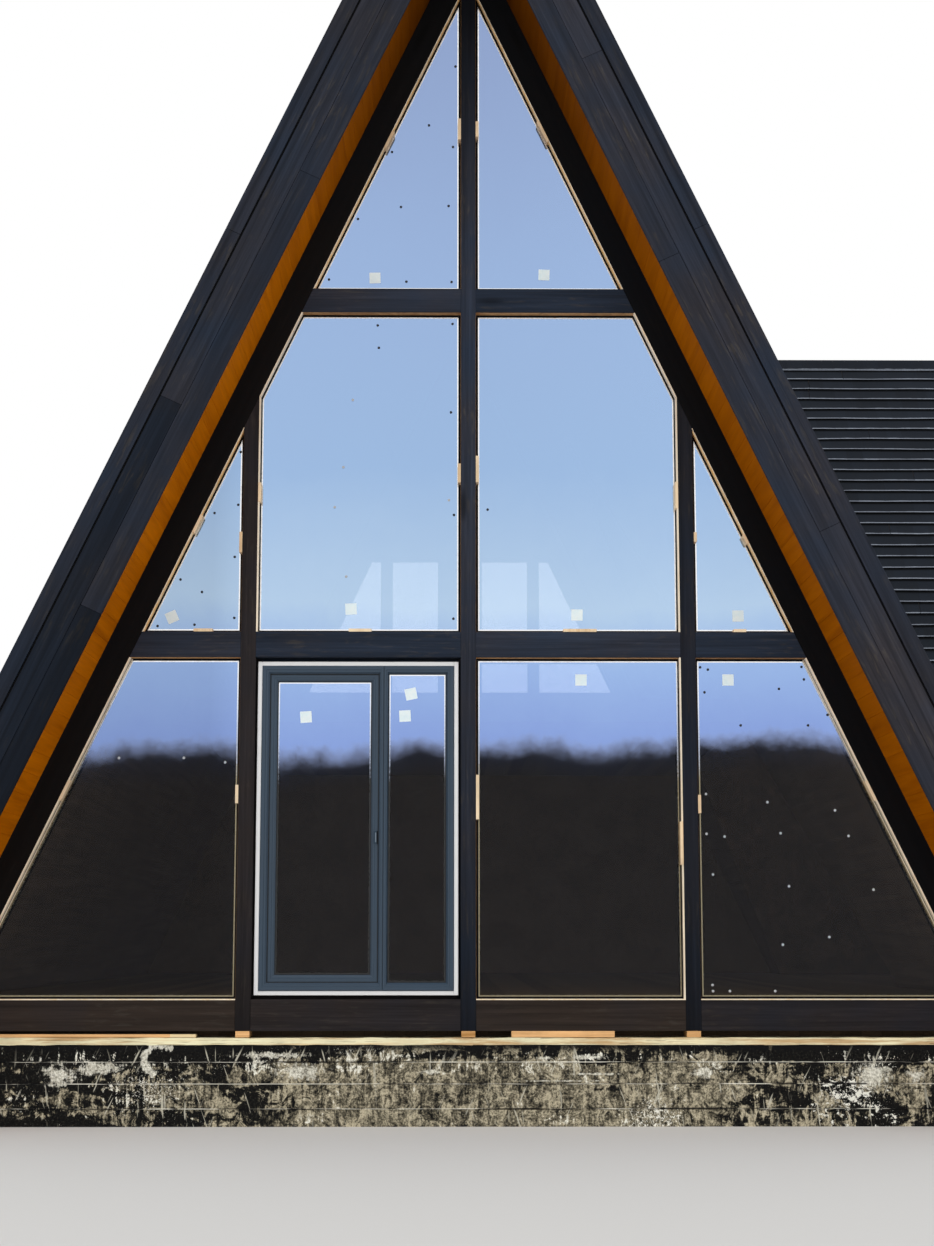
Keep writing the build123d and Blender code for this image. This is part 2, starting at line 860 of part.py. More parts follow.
save(wing_length(wing_cap_outline, wing_slab_end), "wing_ridge_cap")


def wing_rake_boards(y_direction):
    across = 1 / cos(wing_slope)
    first_top = wing_deck_apex + fascia_board * across
    second_bottom = first_top + fascia_seam * across
    outlines = []
    for low, high in ((wing_deck_apex, first_top), (second_bottom, wing_ridge_height)):
        outline = wing_band(low, high, eave_height, y_direction)
        gap = y_direction * board_joint / 2
        outlines.append(outline[:2] + [(wing_ridge_y + gap, high - abs(gap) * tan(wing_slope)),
                                       (wing_ridge_y + gap, low - abs(gap) * tan(wing_slope))])
    return outlines


save(side_prisms(wing_rake_boards(-1) + wing_rake_boards(1), wing_slab_end, fascia_thickness), "wing_fascia")


def wing_wall_band(bottom, top):
    """The full width of the wing's gable wall between two levels."""
    low = wing_half_span(wing_deck_apex, bottom)
    high = wing_half_span(wing_deck_apex, top)
    return [(wing_ridge_y - low, bottom), (wing_ridge_y + low, bottom),
            (wing_ridge_y + high, top), (wing_ridge_y - high, top)]


def wing_mirrored(outline):
    return [(2 * wing_ridge_y - y, z) for y, z in outline]


wing_half_pier = wing_pier_width / 2
wing_pane_end = wing_half_pier + wing_pane_width
wing_pier = box_outline(wing_ridge_y - wing_half_pier, wing_ridge_y + wing_half_pier, wing_sill, wing_head)
wing_side = [(wing_ridge_y + wing_pane_end, wing_sill),
             (wing_ridge_y + wing_half_span(wing_deck_apex, wing_sill), wing_sill),
             (wing_ridge_y + wing_half_span(wing_deck_apex, wing_head), wing_head),
             (wing_ridge_y + wing_pane_end, wing_head)]
wing_pane = box_outline(wing_ridge_y + wing_half_pier, wing_ridge_y + wing_pane_end, wing_sill, wing_head)
wing_top = wing_wall_band(wing_head, wing_deck_apex)[:2] + [(wing_ridge_y, wing_deck_apex)]
save(side_prisms([wing_wall_band(board_top, wing_sill)], wing_wall_inside, gable_wall), "wing_wall_lower")
save(side_prisms([wing_pier, wing_side, wing_mirrored(wing_side)], wing_wall_inside, gable_wall),
     "wing_wall_piers")
save(side_prisms([wing_top], wing_wall_inside, gable_wall), "wing_wall_upper")
wing_windows = [wing_pane, wing_mirrored(wing_pane)]
wing_bead_start = wing_wall_face - window_setback - window_depth
wing_groove_start = wing_bead_start + window_bead
save(layered_rings(wing_windows, side_plane, 1, (
    (wing_bead_start, window_bead, window_face),
    (wing_groove_start, unit_pane_thickness, window_face - glazing_groove),
    (wing_groove_start + unit_pane_thickness, window_lip, window_face),
)), "wing_window_frames")
save(inset_panes(wing_windows, side_plane, 1, wing_groove_start, window_face - glazing_groove), "wing_glass")
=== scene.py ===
# An A-frame cabin with a tall glazed gable: stained timber, raw reveals, sealed panes, a grey glass door,
# lapped roof courses and a board-marked foundation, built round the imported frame. Metres, Z up.
import math
import random

import bmesh
import bpy
from mathutils import Matrix, Vector


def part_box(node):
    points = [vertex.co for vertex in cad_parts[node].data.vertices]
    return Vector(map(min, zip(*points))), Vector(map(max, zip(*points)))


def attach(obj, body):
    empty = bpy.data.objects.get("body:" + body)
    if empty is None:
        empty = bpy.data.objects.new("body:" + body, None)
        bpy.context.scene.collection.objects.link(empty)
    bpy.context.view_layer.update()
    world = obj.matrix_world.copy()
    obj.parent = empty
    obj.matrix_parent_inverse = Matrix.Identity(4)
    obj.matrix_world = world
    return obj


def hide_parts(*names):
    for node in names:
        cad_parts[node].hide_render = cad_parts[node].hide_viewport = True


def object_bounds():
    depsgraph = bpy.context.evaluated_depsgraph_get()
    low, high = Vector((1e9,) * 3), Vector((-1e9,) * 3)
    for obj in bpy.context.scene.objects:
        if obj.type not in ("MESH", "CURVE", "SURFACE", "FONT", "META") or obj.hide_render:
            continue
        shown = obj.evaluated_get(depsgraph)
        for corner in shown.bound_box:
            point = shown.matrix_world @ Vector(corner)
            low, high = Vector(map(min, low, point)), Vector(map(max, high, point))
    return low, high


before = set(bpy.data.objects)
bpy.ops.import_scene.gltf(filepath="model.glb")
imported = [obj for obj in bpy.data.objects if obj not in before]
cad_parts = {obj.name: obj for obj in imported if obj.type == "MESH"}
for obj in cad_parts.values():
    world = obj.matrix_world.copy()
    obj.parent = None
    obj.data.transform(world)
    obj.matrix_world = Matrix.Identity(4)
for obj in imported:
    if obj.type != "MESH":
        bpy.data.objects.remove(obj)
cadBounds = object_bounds()
print("frame loaded:", len(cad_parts), "nodes")

gable = {
    "pitch": math.radians(64.8), "openingApex": 7.76, "rafterDepth": 0.20, "halfPost": 0.05,
    "postInner": 1.40, "postOuter": 1.50, "railTop": 0.80, "beamBottom": 3.02, "beamTop": 3.19,
    "collarBottom": 5.37, "collarTop": 5.535,
}
roof = {"thickness": 0.365, "edgeRise": 0.013, "soffit": 0.030, "eaves": 0.35, "capReach": 0.12,
    "capLap": 0.02, "centreGap": 0.0003}
wing = {"pitch": math.radians(60), "ridge": 6.86, "thickness": 0.350, "pierHalf": 0.08}
loft = {"pierHalf": 0.215, "paneWidth": 0.600, "postWidth": 0.060, "edgeWidth": 0.205}


def ends(node, axis):  # where a node starts and stops along "x", "y" or "z"
    return [getattr(corner, axis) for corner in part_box(node)]


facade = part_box("front_rafters")[0].y
paneFront, stopFace = ends("top_glass", "y")
vergeFront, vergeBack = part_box("front_fascia_left")[0].y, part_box("rear_fascia")[1].y
slabFront, slabBack = ends("roof_left", "y")
rearInside, rearFace = ends("rear_wall_lower", "y")
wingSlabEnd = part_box("wing_roof_front")[1].x
wingRidgeY = sum(ends("wing_ridge_cap", "y")) / 2
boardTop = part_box("sill_boards")[1].z

slopeSin, slopeCos = math.sin(gable["pitch"]), math.cos(gable["pitch"])
wingSin, wingCos = math.sin(wing["pitch"]), math.cos(wing["pitch"])
deckApex = gable["openingApex"] + gable["rafterDepth"] / slopeCos  # the deck is the plane under the roof
coverApex = deckApex + roof["thickness"] / slopeCos
wingCoverApex = wing["ridge"] - roof["edgeRise"] / wingCos
wingDeckApex = wingCoverApex - wing["thickness"] / wingCos
loftEdgeApex = deckApex - loft["edgeWidth"] / slopeCos


def halfSpan(apex, z):  # half the width, at height z, between two main slopes that meet at the apex
    return (apex - z) * slopeCos / slopeSin


def wingHalfSpan(apex, z):
    return (apex - z) * wingCos / wingSin


# The camera, as the photograph was taken
shot = {
    "place": (-0.1302, -13.9491, 1.1896), "tilt": 0.1481, "turn": -0.0088,
    "focalPixels": 2112.69, "photoSize": (934, 1246), "sensor": 36.0, "farthest": 200,
}


def linked(name, data):
    made = bpy.data.objects.new(name, data)
    bpy.context.scene.collection.objects.link(made)
    return made


def makeCamera():
    data = bpy.data.cameras.new("camera")
    data.sensor_fit = "VERTICAL"
    data.sensor_height = shot["sensor"]
    data.lens = shot["focalPixels"] * shot["sensor"] / shot["photoSize"][1]
    data.clip_end = shot["farthest"]
    camera = linked("camera", data)
    camera.location = shot["place"]
    camera.rotation_euler = (math.pi / 2 + shot["tilt"], 0, shot["turn"])
    bpy.context.scene.camera = camera


def photoPoint(px, py, depth):  # (x, z) where the ray through a photograph pixel meets the plane y = depth
    u = (px - shot["photoSize"][0] / 2) / shot["focalPixels"]
    v = (shot["photoSize"][1] / 2 - py) / shot["focalPixels"]
    sine, cosine = math.sin(shot["tilt"]), math.cos(shot["tilt"])
    ray = Matrix.Rotation(shot["turn"], 3, "Z") @ Vector((u, cosine - v * sine, sine + v * cosine))
    point = Vector(shot["place"]) + ray * (depth - shot["place"][1]) / ray.y
    return point.x, point.z


makeCamera()
print("camera placed")


# Nodes, for materials and for geometry

class Signal:  # a node's output, so that sums and products of outputs are written as such
    def __init__(self, socket):
        self.socket = socket

    def __add__(self, other):
        return maths("ADD", self, other)

    def __sub__(self, other):
        return maths("SUBTRACT", self, other)

    def __rsub__(self, other):
        return maths("SUBTRACT", other, self)

    def __mul__(self, other):
        return maths("MULTIPLY", self, other)

    def __truediv__(self, other):
        return maths("DIVIDE", self, other)

    def __abs__(self):
        return maths("ABSOLUTE", self)


def addNode(kind, inputs=None, tree=None, **settings):  # in the tree of its inputs, where none is given
    inputs = inputs or {}
    tree = tree or next(value for value in inputs.values() if isinstance(value, Signal)).socket.id_data
    made = tree.nodes.new(kind)
    for key, value in settings.items():
        setattr(made, key, value)
    for key, value in inputs.items():
        if isinstance(value, Signal):
            tree.links.new(value.socket, made.inputs[key])
        else:
            made.inputs[key].default_value = value
    return made


def signal(kind, inputs=None, out=0, tree=None, **settings):
    return Signal(addNode(kind, inputs, tree, **settings).outputs[out])


def maths(operation, a, b=0.0, c=0.0, clamp=False):
    return signal("ShaderNodeMath", {0: a, 1: b, 2: c}, operation=operation, use_clamp=clamp)


def vectorMaths(operation, a, b=(0, 0, 0), out=0):
    return signal("ShaderNodeVectorMath", {0: a, 1: b}, out, operation=operation)


def joined(x=0.0, y=0.0, z=0.0):
    return signal("ShaderNodeCombineXYZ", {0: x, 1: y, 2: z})


def split(vector):
    return [Signal(socket) for socket in addNode("ShaderNodeSeparateXYZ", {0: vector}).outputs]


def mapped(value, fromLow, fromHigh, toLow, toHigh, shape="LINEAR"):  # a setting named Reach holds the four
    inputs = {"Value": value, "From Min": fromLow, "From Max": fromHigh, "To Min": toLow, "To Max": toHigh}
    return signal("ShaderNodeMapRange", inputs, "Result", interpolation_type=shape)


def noise(vector, scale, detail=3.0, roughness=0.5, distortion=0.0):  # a tuple scales X, Y and Z apart
    if isinstance(scale, tuple):
        vector, scale = vectorMaths("MULTIPLY", vector, scale), 1.0
    inputs = {"Vector": vector, "Scale": scale, "Detail": detail, "Roughness": roughness,
        "Distortion": distortion}
    return signal("ShaderNodeTexNoise", inputs)


def ramp(factor, *stops):
    made = addNode("ShaderNodeValToRGB", {0: factor})
    elements = made.color_ramp.elements
    while len(elements) < len(stops):
        elements.new(0.5)
    for element, (position, colour) in zip(elements, stops):
        element.position = position
        element.color = (*colour, 1)
    return Signal(made.outputs["Color"])


def bands(place, stops):  # a colour at each place in metres, blended between them
    low, high = stops[0][0], stops[-1][0]
    shares = [((spot - low) / (high - low), colour) for spot, colour in stops]
    return ramp(mapped(place, low, high, 0, 1), *shares)


def mixed(factor, a, b, mode="MIX"):
    first, second = (value if isinstance(value, Signal) else (*value, 1) for value in (a, b))
    return signal("ShaderNodeMix", {0: factor, 6: first, 7: second}, 2, data_type="RGBA", blend_type=mode)


def dimmed(colour, factor):
    return signal("ShaderNodeVectorMath", {0: colour, "Scale": factor}, operation="SCALE")


def bump(height, strength, distance):
    return signal("ShaderNodeBump", {"Height": height, "Strength": strength, "Distance": distance}, "Normal")


def whiteNoise(key, kind="1D"):
    name = "W" if kind == "1D" else "Vector"
    return signal("ShaderNodeTexWhiteNoise", {name: key}, "Value", noise_dimensions=kind)


def objectSpot(material):
    return signal("ShaderNodeTexCoord", None, "Object", material.node_tree)


def attribute(spot, name):
    return signal("ShaderNodeAttribute", None, "Fac", spot.socket.id_data, attribute_name=name)


def newMaterial(name, roughness, specular=0.3, metallic=0.0):
    material = bpy.data.materials.new(name)
    material.use_nodes = True
    sockets = material.node_tree.nodes["Principled BSDF"].inputs
    sockets["Roughness"].default_value = roughness
    sockets["Specular IOR Level"].default_value = specular
    sockets["Metallic"].default_value = metallic
    return material, objectSpot(material)


def dress(material, colour, roughness=None, normal=None, alpha=None):
    shader = material.node_tree.nodes["Principled BSDF"]
    values = {"Base Color": colour, "Roughness": roughness, "Normal": normal, "Alpha": alpha}
    for name, value in values.items():
        if value:
            material.node_tree.links.new(value.socket, shader.inputs[name])
    return material


def paintOver(material, factor, colour, mode="MIX"):
    shader = material.node_tree.nodes["Principled BSDF"]
    plain = Signal(shader.inputs["Base Color"].links[0].from_socket)
    return dress(material, mixed(factor, plain, colour, mode))


def shadeAlong(material, axis, stops):  # stops are places along X, Y or Z and the light level there
    place = split(objectSpot(material))["XYZ".index(axis)]
    light = bands(place, [(spot, (level, level, level)) for spot, level in stops])
    return paintOver(material, 1.0, light, "MULTIPLY")


def speckled(name, shader, grit, stops, rough=None, relief=None):  # one noise gives all three
    material, spot = newMaterial(name, *shader)
    grains = noise(spot, *grit)
    roughness, normal = rough and mapped(grains, *rough), relief and bump(grains, *relief)
    return dress(material, ramp(grains, *stops), roughness, normal)


# Grain: along it, across it, and whether the left side mirrors the right
acrossX, acrossY, upright = (1, 0, 0), (0, 1, 0), (0, 0, 1)
downSlope, offSlope = (slopeCos, 0, -slopeSin), (slopeSin, 0, slopeCos)
postGrain, beamGrain = (upright, acrossX, False), (acrossX, upright, False)
sideGrain, depthGrain = (upright, acrossY, False), (acrossY, upright, False)
floorGrain = (acrossY, acrossX, False)
slopeGrain, soffitGrain = (downSlope, offSlope, True), (acrossY, downSlope, True)


def grainCoords(spot, way, fineness, length):  # slow along the grain, quick across it
    along, across, mirrored = way
    if mirrored:
        spot = vectorMaths("ABSOLUTE", spot)
    third = Vector(along).cross(Vector(across))
    scaled = (Vector(across) * fineness, third * fineness, Vector(along) * length)
    return joined(*(vectorMaths("DOT_PRODUCT", spot, axis, "Value") for axis in scaled))


def grain(spot, way, fineness, length, detail, roughness, distortion=0.0):
    return noise(grainCoords(spot, way, fineness, length), 1.0, detail, roughness, distortion)


stain = {
    "blueBlack": (0.0125, 0.0180, 0.0300), "brownBlack": (0.0265, 0.0190, 0.0150), "streak": 0.95,
    "fibres": (85, 2.2, 4, 0.6), "bands": (20, 0.50, 3, 0.55, 0.6), "dashes": (46, 6.5, 3, 0.6, 0.5),
    "knots": (4.2, 0.9), "roughness": 0.74, "toneRange": 0.35, "fleck": 0.45,
    "fleckColour": (0.050, 0.043, 0.035), "clouds": (1.3, 3, 0.6), "wear": (2.6, 3, 0.6),
    "wearReach": (0.42, 0.62, 0), "dashReach": (0.54, 0.68, 0, 1), "knotReach": (0.05, 0.14, 0.45, 1.0),
    "fibreLight": (0.3, 0.7, 0.78, 1.25), "relief": (0.35, 0.002),
}


def stainedWood(name, way, level=1.0, warmth=0.35, settings=stain):
    material, spot = newMaterial(name, settings["roughness"], 0.12)
    fibres, wide, dashes = (grain(spot, way, *settings[layer]) for layer in ("fibres", "bands", "dashes"))
    tone = attribute(spot, "tone")
    clouds = noise(spot, *settings["clouds"])
    warm = maths("MULTIPLY_ADD", tone, 0.55, clouds * 1.2 + (warmth - 0.78), True)
    base = mixed(warm, settings["blueBlack"], settings["brownBlack"])
    worn = mapped(noise(spot, *settings["wear"]), *settings["wearReach"], settings["fleck"])
    base = mixed(mapped(dashes, *settings["dashReach"]) * worn, base, settings["fleckColour"])
    cells = {"Vector": grainCoords(spot, way, *settings["knots"]), "Scale": 1.0, "Randomness": 1.0}
    knots = signal("ShaderNodeTexVoronoi", cells, "Distance")
    knots = mapped(knots, *settings["knotReach"], "SMOOTHSTEP")
    light = wide * (settings["streak"] * 1.5) + (1 - settings["streak"] * 0.75)
    light = light * mapped(fibres, *settings["fibreLight"])
    light = light * (tone * settings["toneRange"] + (1 - settings["toneRange"] / 2)) * knots
    rough = mapped(fibres, 0.2, 0.8, settings["roughness"] - 0.08, settings["roughness"] + 0.1)
    relief = bump(wide * 0.6 + fibres, *settings["relief"])
    return dress(material, dimmed(base, light * level), rough, relief)


rawWood = {"fibres": (110, 3.0, 5, 0.65), "bands": (22, 0.9, 3, 0.5, 0.8), "shader": (0.78, 0.25),
    "weights": (0.7, 0.5, 0.35, -0.17), "span": (0.30, 0.72), "rough": (0.2, 0.8, 0.68, 0.88),
    "relief": (0.3, 0.0015), "stains": (0.35, 0.6, 0.82, 1.05)}


def layeredWood(name, way, pale, dark, settings, light):  # light: a function of a spot and its parts
    material, spot = newMaterial(name, *settings["shader"])
    fibres, wide = grain(spot, way, *settings["fibres"]), grain(spot, way, *settings["bands"])
    forWide, forFibres, forTone, level = settings["weights"]
    share = wide * forWide + fibres * forFibres + (attribute(spot, "tone") * forTone + level)
    colour = dimmed(ramp(share, *zip(settings["span"], (dark, pale))), light(spot))
    return dress(material, colour, mapped(fibres, *settings["rough"]), bump(fibres, *settings["relief"]))


def bareWood(name, way, pale, dark):
    def stains(spot):
        return mapped(noise(spot, 3.1, 4, 0.6), *rawWood["stains"])

    return layeredWood(name, way, pale, dark, rawWood, stains)


# Mesh building

tolerance = {"sharp": math.radians(25), "smooth": math.radians(35), "level": math.radians(1),
    "merge": 0.00005, "slice": 0.0001, "cut": 0.00001, "sliver": 0.01}


def gablePlace(a, b, depth):
    return a, depth, b


def sidePlace(a, b, depth):
    return depth, a, b


def newPiece():
    bm = bmesh.new()
    bm.verts.layers.float.new("tone")
    return bm


def addPrism(bm, outline, near, far, tone=0.5, place=gablePlace):
    layer = bm.verts.layers.float["tone"]
    rings = [[bm.verts.new(place(a, b, depth)) for a, b in outline] for depth in (near, far)]
    for vert in rings[0] + rings[1]:
        vert[layer] = tone
    faces = [bm.faces.new(rings[0]), bm.faces.new(reversed(rings[1]))]
    for i in range(len(outline)):
        j = (i + 1) % len(outline)
        faces.append(bm.faces.new((rings[0][j], rings[0][i], rings[1][i], rings[1][j])))
    bmesh.ops.recalc_face_normals(bm, faces=faces)


def addRing(bm, outer, inner, profile, tone=0.5, place=gablePlace):
    # the profile says, all round, the share of the way inwards and the depth
    layer = bm.verts.layers.float["tone"]
    rings = []
    for share, depth in profile:
        ring = []
        for (a0, b0), (a1, b1) in zip(outer, inner):
            ring.append(bm.verts.new(place(a0 + (a1 - a0) * share, b0 + (b1 - b0) * share, depth)))
            ring[-1][layer] = tone
        rings.append(ring)
    faces = []
    for ring, following in zip(rings, rings[1:] + rings[:1]):
        for i in range(len(ring)):
            j = (i + 1) % len(ring)
            faces.append(bm.faces.new((ring[i], ring[j], following[j], following[i])))
    bmesh.ops.recalc_face_normals(bm, faces=faces)


def flat(front, back):  # the profile of a ring with a square section
    return (0, front), (1, front), (1, back), (0, back)


def easeEdges(bm, width, segments=1):
    sharp = [edge for edge in bm.edges if edge.is_manifold and edge.calc_face_angle(0) > tolerance["sharp"]]
    bmesh.ops.bevel(bm, geom=sharp, offset=width, segments=segments, affect="EDGES", clamp_overlap=True)


def copyOf(node, seed=1):  # a merged copy of a CAD node's mesh, each loose part with a tone of its own
    bm = bmesh.new()
    bm.from_mesh(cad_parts[node].data)
    bm.transform(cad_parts[node].matrix_world)
    bmesh.ops.remove_doubles(bm, verts=bm.verts, dist=tolerance["merge"])
    bmesh.ops.dissolve_limit(bm, angle_limit=tolerance["level"], verts=bm.verts, edges=bm.edges)
    layer = bm.verts.layers.float.new("tone")
    tones = random.Random(seed)
    waiting = set(bm.verts)
    for start in bm.verts:
        if start not in waiting:
            continue
        tone = tones.random()
        waiting.discard(start)
        front = [start]
        while front:
            vert = front.pop()
            vert[layer] = tone
            linked = {edge.other_vert(vert) for edge in vert.link_edges} & waiting
            waiting -= linked
            front.extend(linked)
    return bm


def finishPiece(bm, name, material, replaced=(), body="house", smooth=False):
    mesh = bpy.data.meshes.new(name)
    bm.to_mesh(mesh)
    bm.free()
    mesh.materials.append(material)
    if smooth:
        mesh.shade_smooth()
        mesh.set_sharp_from_angle(angle=tolerance["smooth"])
    piece = linked(name, mesh)
    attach(piece, body)
    if replaced:
        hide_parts(*replaced)


def easedCopy(node, name, material, width, seed=1):
    bm = copyOf(node, seed)
    easeEdges(bm, width)
    finishPiece(bm, name, material, [node])


def dressNodes(nodes, material):
    for node in nodes:
        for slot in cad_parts[node].material_slots:
            slot.material = material


def pieceName(node, ending):
    return node.replace("_", "-") + ending


def box(a0, a1, b0, b1):
    return [(a0, b0), (a1, b0), (a1, b1), (a0, b1)]


def frontBox(node, margin):  # a node's outline from the front, drawn in by a margin
    low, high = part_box(node)
    return box(low.x + margin, high.x - margin, low.z + margin, high.z - margin)


def mirrored(outline):
    return [(-a, b) for a, b in reversed(outline)]


def edgesOf(outline):  # the start, direction, inward normal and length of every edge
    edges = []
    for first, second in zip(outline, outline[1:] + outline[:1]):
        first, second = Vector(first), Vector(second)
        along = (second - first).normalized()
        edges.append((first, along, Vector((-along.y, along.x)), (second - first).length))
    return edges


def clipped(outline, normal, limit):  # the part of a convex outline where point . normal is at most the limit
    kept = []
    for first, second in zip(outline, outline[1:] + outline[:1]):
        near = Vector(first).dot(Vector(normal)) - limit
        far = Vector(second).dot(Vector(normal)) - limit
        if near <= 0:
            kept.append(tuple(first))
        if near * far < 0:
            kept.append(tuple(Vector(first).lerp(Vector(second), near / (near - far))))
    return kept


def inset(outline, distance):  # a convex outline, listed anticlockwise, moved inwards
    lines = [(first + inward * distance, along) for first, along, inward, _ in edgesOf(outline)]
    moved = []
    for (startA, alongA), (startB, alongB) in zip(lines[-1:] + lines[:-1], lines):
        gap = startB - startA
        moved.append(tuple(startA + alongA * gap.cross(alongB) / alongA.cross(alongB)))
    return moved


def slopeBoard(start, end, low, high):  # down and off the right slope's deck, cut at the ridge and eaves
    corners = [(a * slopeCos + b * slopeSin, deckApex - a * slopeSin + b * slopeCos)
        for a, b in box(start, end, low, high)]
    return clipped(clipped(corners, (-1, 0), -roof["centreGap"]), (0, -1), -roof["eaves"])


def slicesAcross(bm, axis, places):  # cuts that let a long face wander
    normal = Vector((0, 0, 0))
    normal[axis] = 1
    for place in places:
        parts = bm.verts[:] + bm.edges[:] + bm.faces[:]
        spot = normal * place
        bmesh.ops.bisect_plane(bm, geom=parts, dist=tolerance["slice"], plane_co=spot, plane_no=normal)


def columns(outline, width, gap):  # a convex outline cut into upright boards
    low, high = min(a for a, _ in outline), max(a for a, _ in outline)
    position = math.floor(low / width) * width
    boards = []
    while position < high:
        board = clipped(clipped(outline, (-1, 0), -(position + gap / 2)), (1, 0), position + width - gap / 2)
        across = [a for a, _ in board]
        if len(board) > 2 and max(across) - min(across) > tolerance["sliver"]:
            boards.append(board)
        position += width
    return boards


# Studio

studio = {"floorColour": (0.80, 0.79, 0.77), "floorHalf": 45, "floorShader": (0.9, 0.1),
    "fade": (11, 30, 0, 1), "ambient": 0.62, "sun": 1.15, "sunAngle": 75, "sunElevation": 42, "sunAzimuth": 6}


def makeStudio():
    scene = bpy.context.scene
    scene.view_settings.view_transform = "Standard"
    middle = (cadBounds[0] + cadBounds[1]) / 2
    half = studio["floorHalf"]
    mesh = bpy.data.meshes.new("floor")
    corners = [(middle.x + a, middle.y + b, 0) for a, b in box(-half, half, -half, half)]
    mesh.from_pydata(corners, [], [(0, 1, 2, 3)])
    linked("floor", mesh)
    material, spot = newMaterial("pale floor", *studio["floorShader"])
    nodes, links = material.node_tree.nodes, material.node_tree.links
    shader = nodes["Principled BSDF"]
    shader.inputs["Base Color"].default_value = (*studio["floorColour"], 1)
    away = vectorMaths("DISTANCE", spot, (middle.x, middle.y, 0), "Value")
    seen = signal("ShaderNodeLightPath", None, "Is Camera Ray", material.node_tree)
    fade = mapped(away, *studio["fade"], "SMOOTHSTEP") * seen
    glow = signal("ShaderNodeEmission", {"Color": (1, 1, 1, 1), "Strength": 1.0}, 0, material.node_tree)
    blend = signal("ShaderNodeMixShader", {0: fade, 1: Signal(shader.outputs[0]), 2: glow})
    links.new(blend.socket, nodes["Material Output"].inputs["Surface"])
    mesh.materials.append(material)

    world = bpy.data.worlds.new("studio")
    scene.world = world
    world.use_nodes = True
    rays = addNode("ShaderNodeLightPath", tree=world.node_tree).outputs
    kinds = ("Camera", "Glossy", "Transmission")
    camera, glossy, through = (Signal(rays["Is " + kind + " Ray"]) for kind in kinds)
    seen = maths("MAXIMUM", maths("MAXIMUM", camera, glossy), through)
    background = world.node_tree.nodes["Background"]
    background.inputs["Color"].default_value = (1, 1, 1, 1)
    level = mapped(seen, 0, 1, studio["ambient"], 1.0)
    world.node_tree.links.new(level.socket, background.inputs["Strength"])

    data = bpy.data.lights.new("soft sun", "SUN")
    data.energy = studio["sun"]
    data.angle = math.radians(studio["sunAngle"])
    sun = linked("soft sun", data)
    sun.rotation_euler = (math.radians(90 - studio["sunElevation"]), 0, -math.radians(studio["sunAzimuth"]))
    sun.visible_glossy = False


makeStudio()
print("studio lit")


# Timbers of the gable, with eased edges

timber = {"ease": 0.0025, "finishes": {  # name, grain, level, warmth, and the painted light along the piece; the rafters' low level is painted shade under the overhang
    "centre_post": ("stained post", postGrain, 2.2, 0.30, "Z", ((0.6, 0.22), (1.2, 0.42), (2.0, 0.60),
        (3.2, 0.80), (4.2, 1.0), (5.6, 0.92), (6.6, 0.55), (7.5, 0.18))),
    "side_posts": ("stained side post", postGrain, 0.95, 0.34, "Z", ((0.6, 0.45), (1.3, 0.85), (2.0, 1.0))),
    "front_rafters": ("stained rafter", slopeGrain, 0.15, 0.35),
    "bottom_rails": ("stained rail", beamGrain, 0.98, 0.72),
    "mid_beams": ("stained beam", beamGrain, 1.48, -0.05, "X", ((-1.5, 0.94), (1.5, 1.14))),
    "collar_beams": ("stained collar", beamGrain, 1.55, -0.05),
}}


def makeTimbers():
    for node, (name, way, level, warmth, *light) in timber["finishes"].items():
        material = stainedWood(name, way, level, warmth)
        if light:
            shadeAlong(material, *light)
        easedCopy(node, pieceName(node, "-eased"), material, timber["ease"])


makeTimbers()
print("timbers eased")


# The bays between the timbers, as outlines seen from the front, listed anticlockwise

def rightBays():
    apex, half, inner, outer = gable["openingApex"], gable["halfPost"], gable["postInner"], gable["postOuter"]
    railTop, beamBottom, beamTop = gable["railTop"], gable["beamBottom"], gable["beamTop"]
    collarBottom, collarTop = gable["collarBottom"], gable["collarTop"]

    def onSlope(x):
        return x, apex - x * slopeSin / slopeCos

    def atHeight(z):
        return halfSpan(apex, z), z

    return {
        "top": [(half, collarTop), atHeight(collarTop), onSlope(half)],
        "upper": [(half, beamTop), (inner, beamTop), onSlope(inner), atHeight(collarBottom),
            (half, collarBottom)],
        "side": [(outer, beamTop), atHeight(beamTop), onSlope(outer)],
        "lowerSide": [(outer, railTop), atHeight(railTop), atHeight(beamBottom), (outer, beamBottom)],
        "middle": box(half, inner, railTop, beamBottom),
    }


bays = {name + "Right": outline for name, outline in rightBays().items()}
bays.update({name + "Left": mirrored(outline) for name, outline in rightBays().items()})
glazedBays = {name: outline for name, outline in bays.items() if name != "middleLeft"}

reveal = {
    "skin": 0.0012, "start": 0.010, "pale": (0.66, 0.37, 0.16), "dark": (0.29, 0.13, 0.045),
    "strip": 0.0098, "slantStrip": 0.0108, "stripStart": 0.0015, "stripDepth": 0.042,
    "stripPale": (1.0, 0.87, 0.68), "stripDark": (0.84, 0.53, 0.20), "bead": (0.0045, 0.010),
    "ledge": (-0.004, 0.003), "ledgeProud": 0.0012, "lath": (0.0125, 0.0165, -0.100, -0.082),
    "warmBays": ("top", "side"), "ledgeBays": ("lowerSide", "middle"), "back": 0.001,
    "tones": (0.3, 0.55, 0.8), "brightTone": 0.9, "deepShadeTone": -0.1, "ledgeTone": 0.7,
}


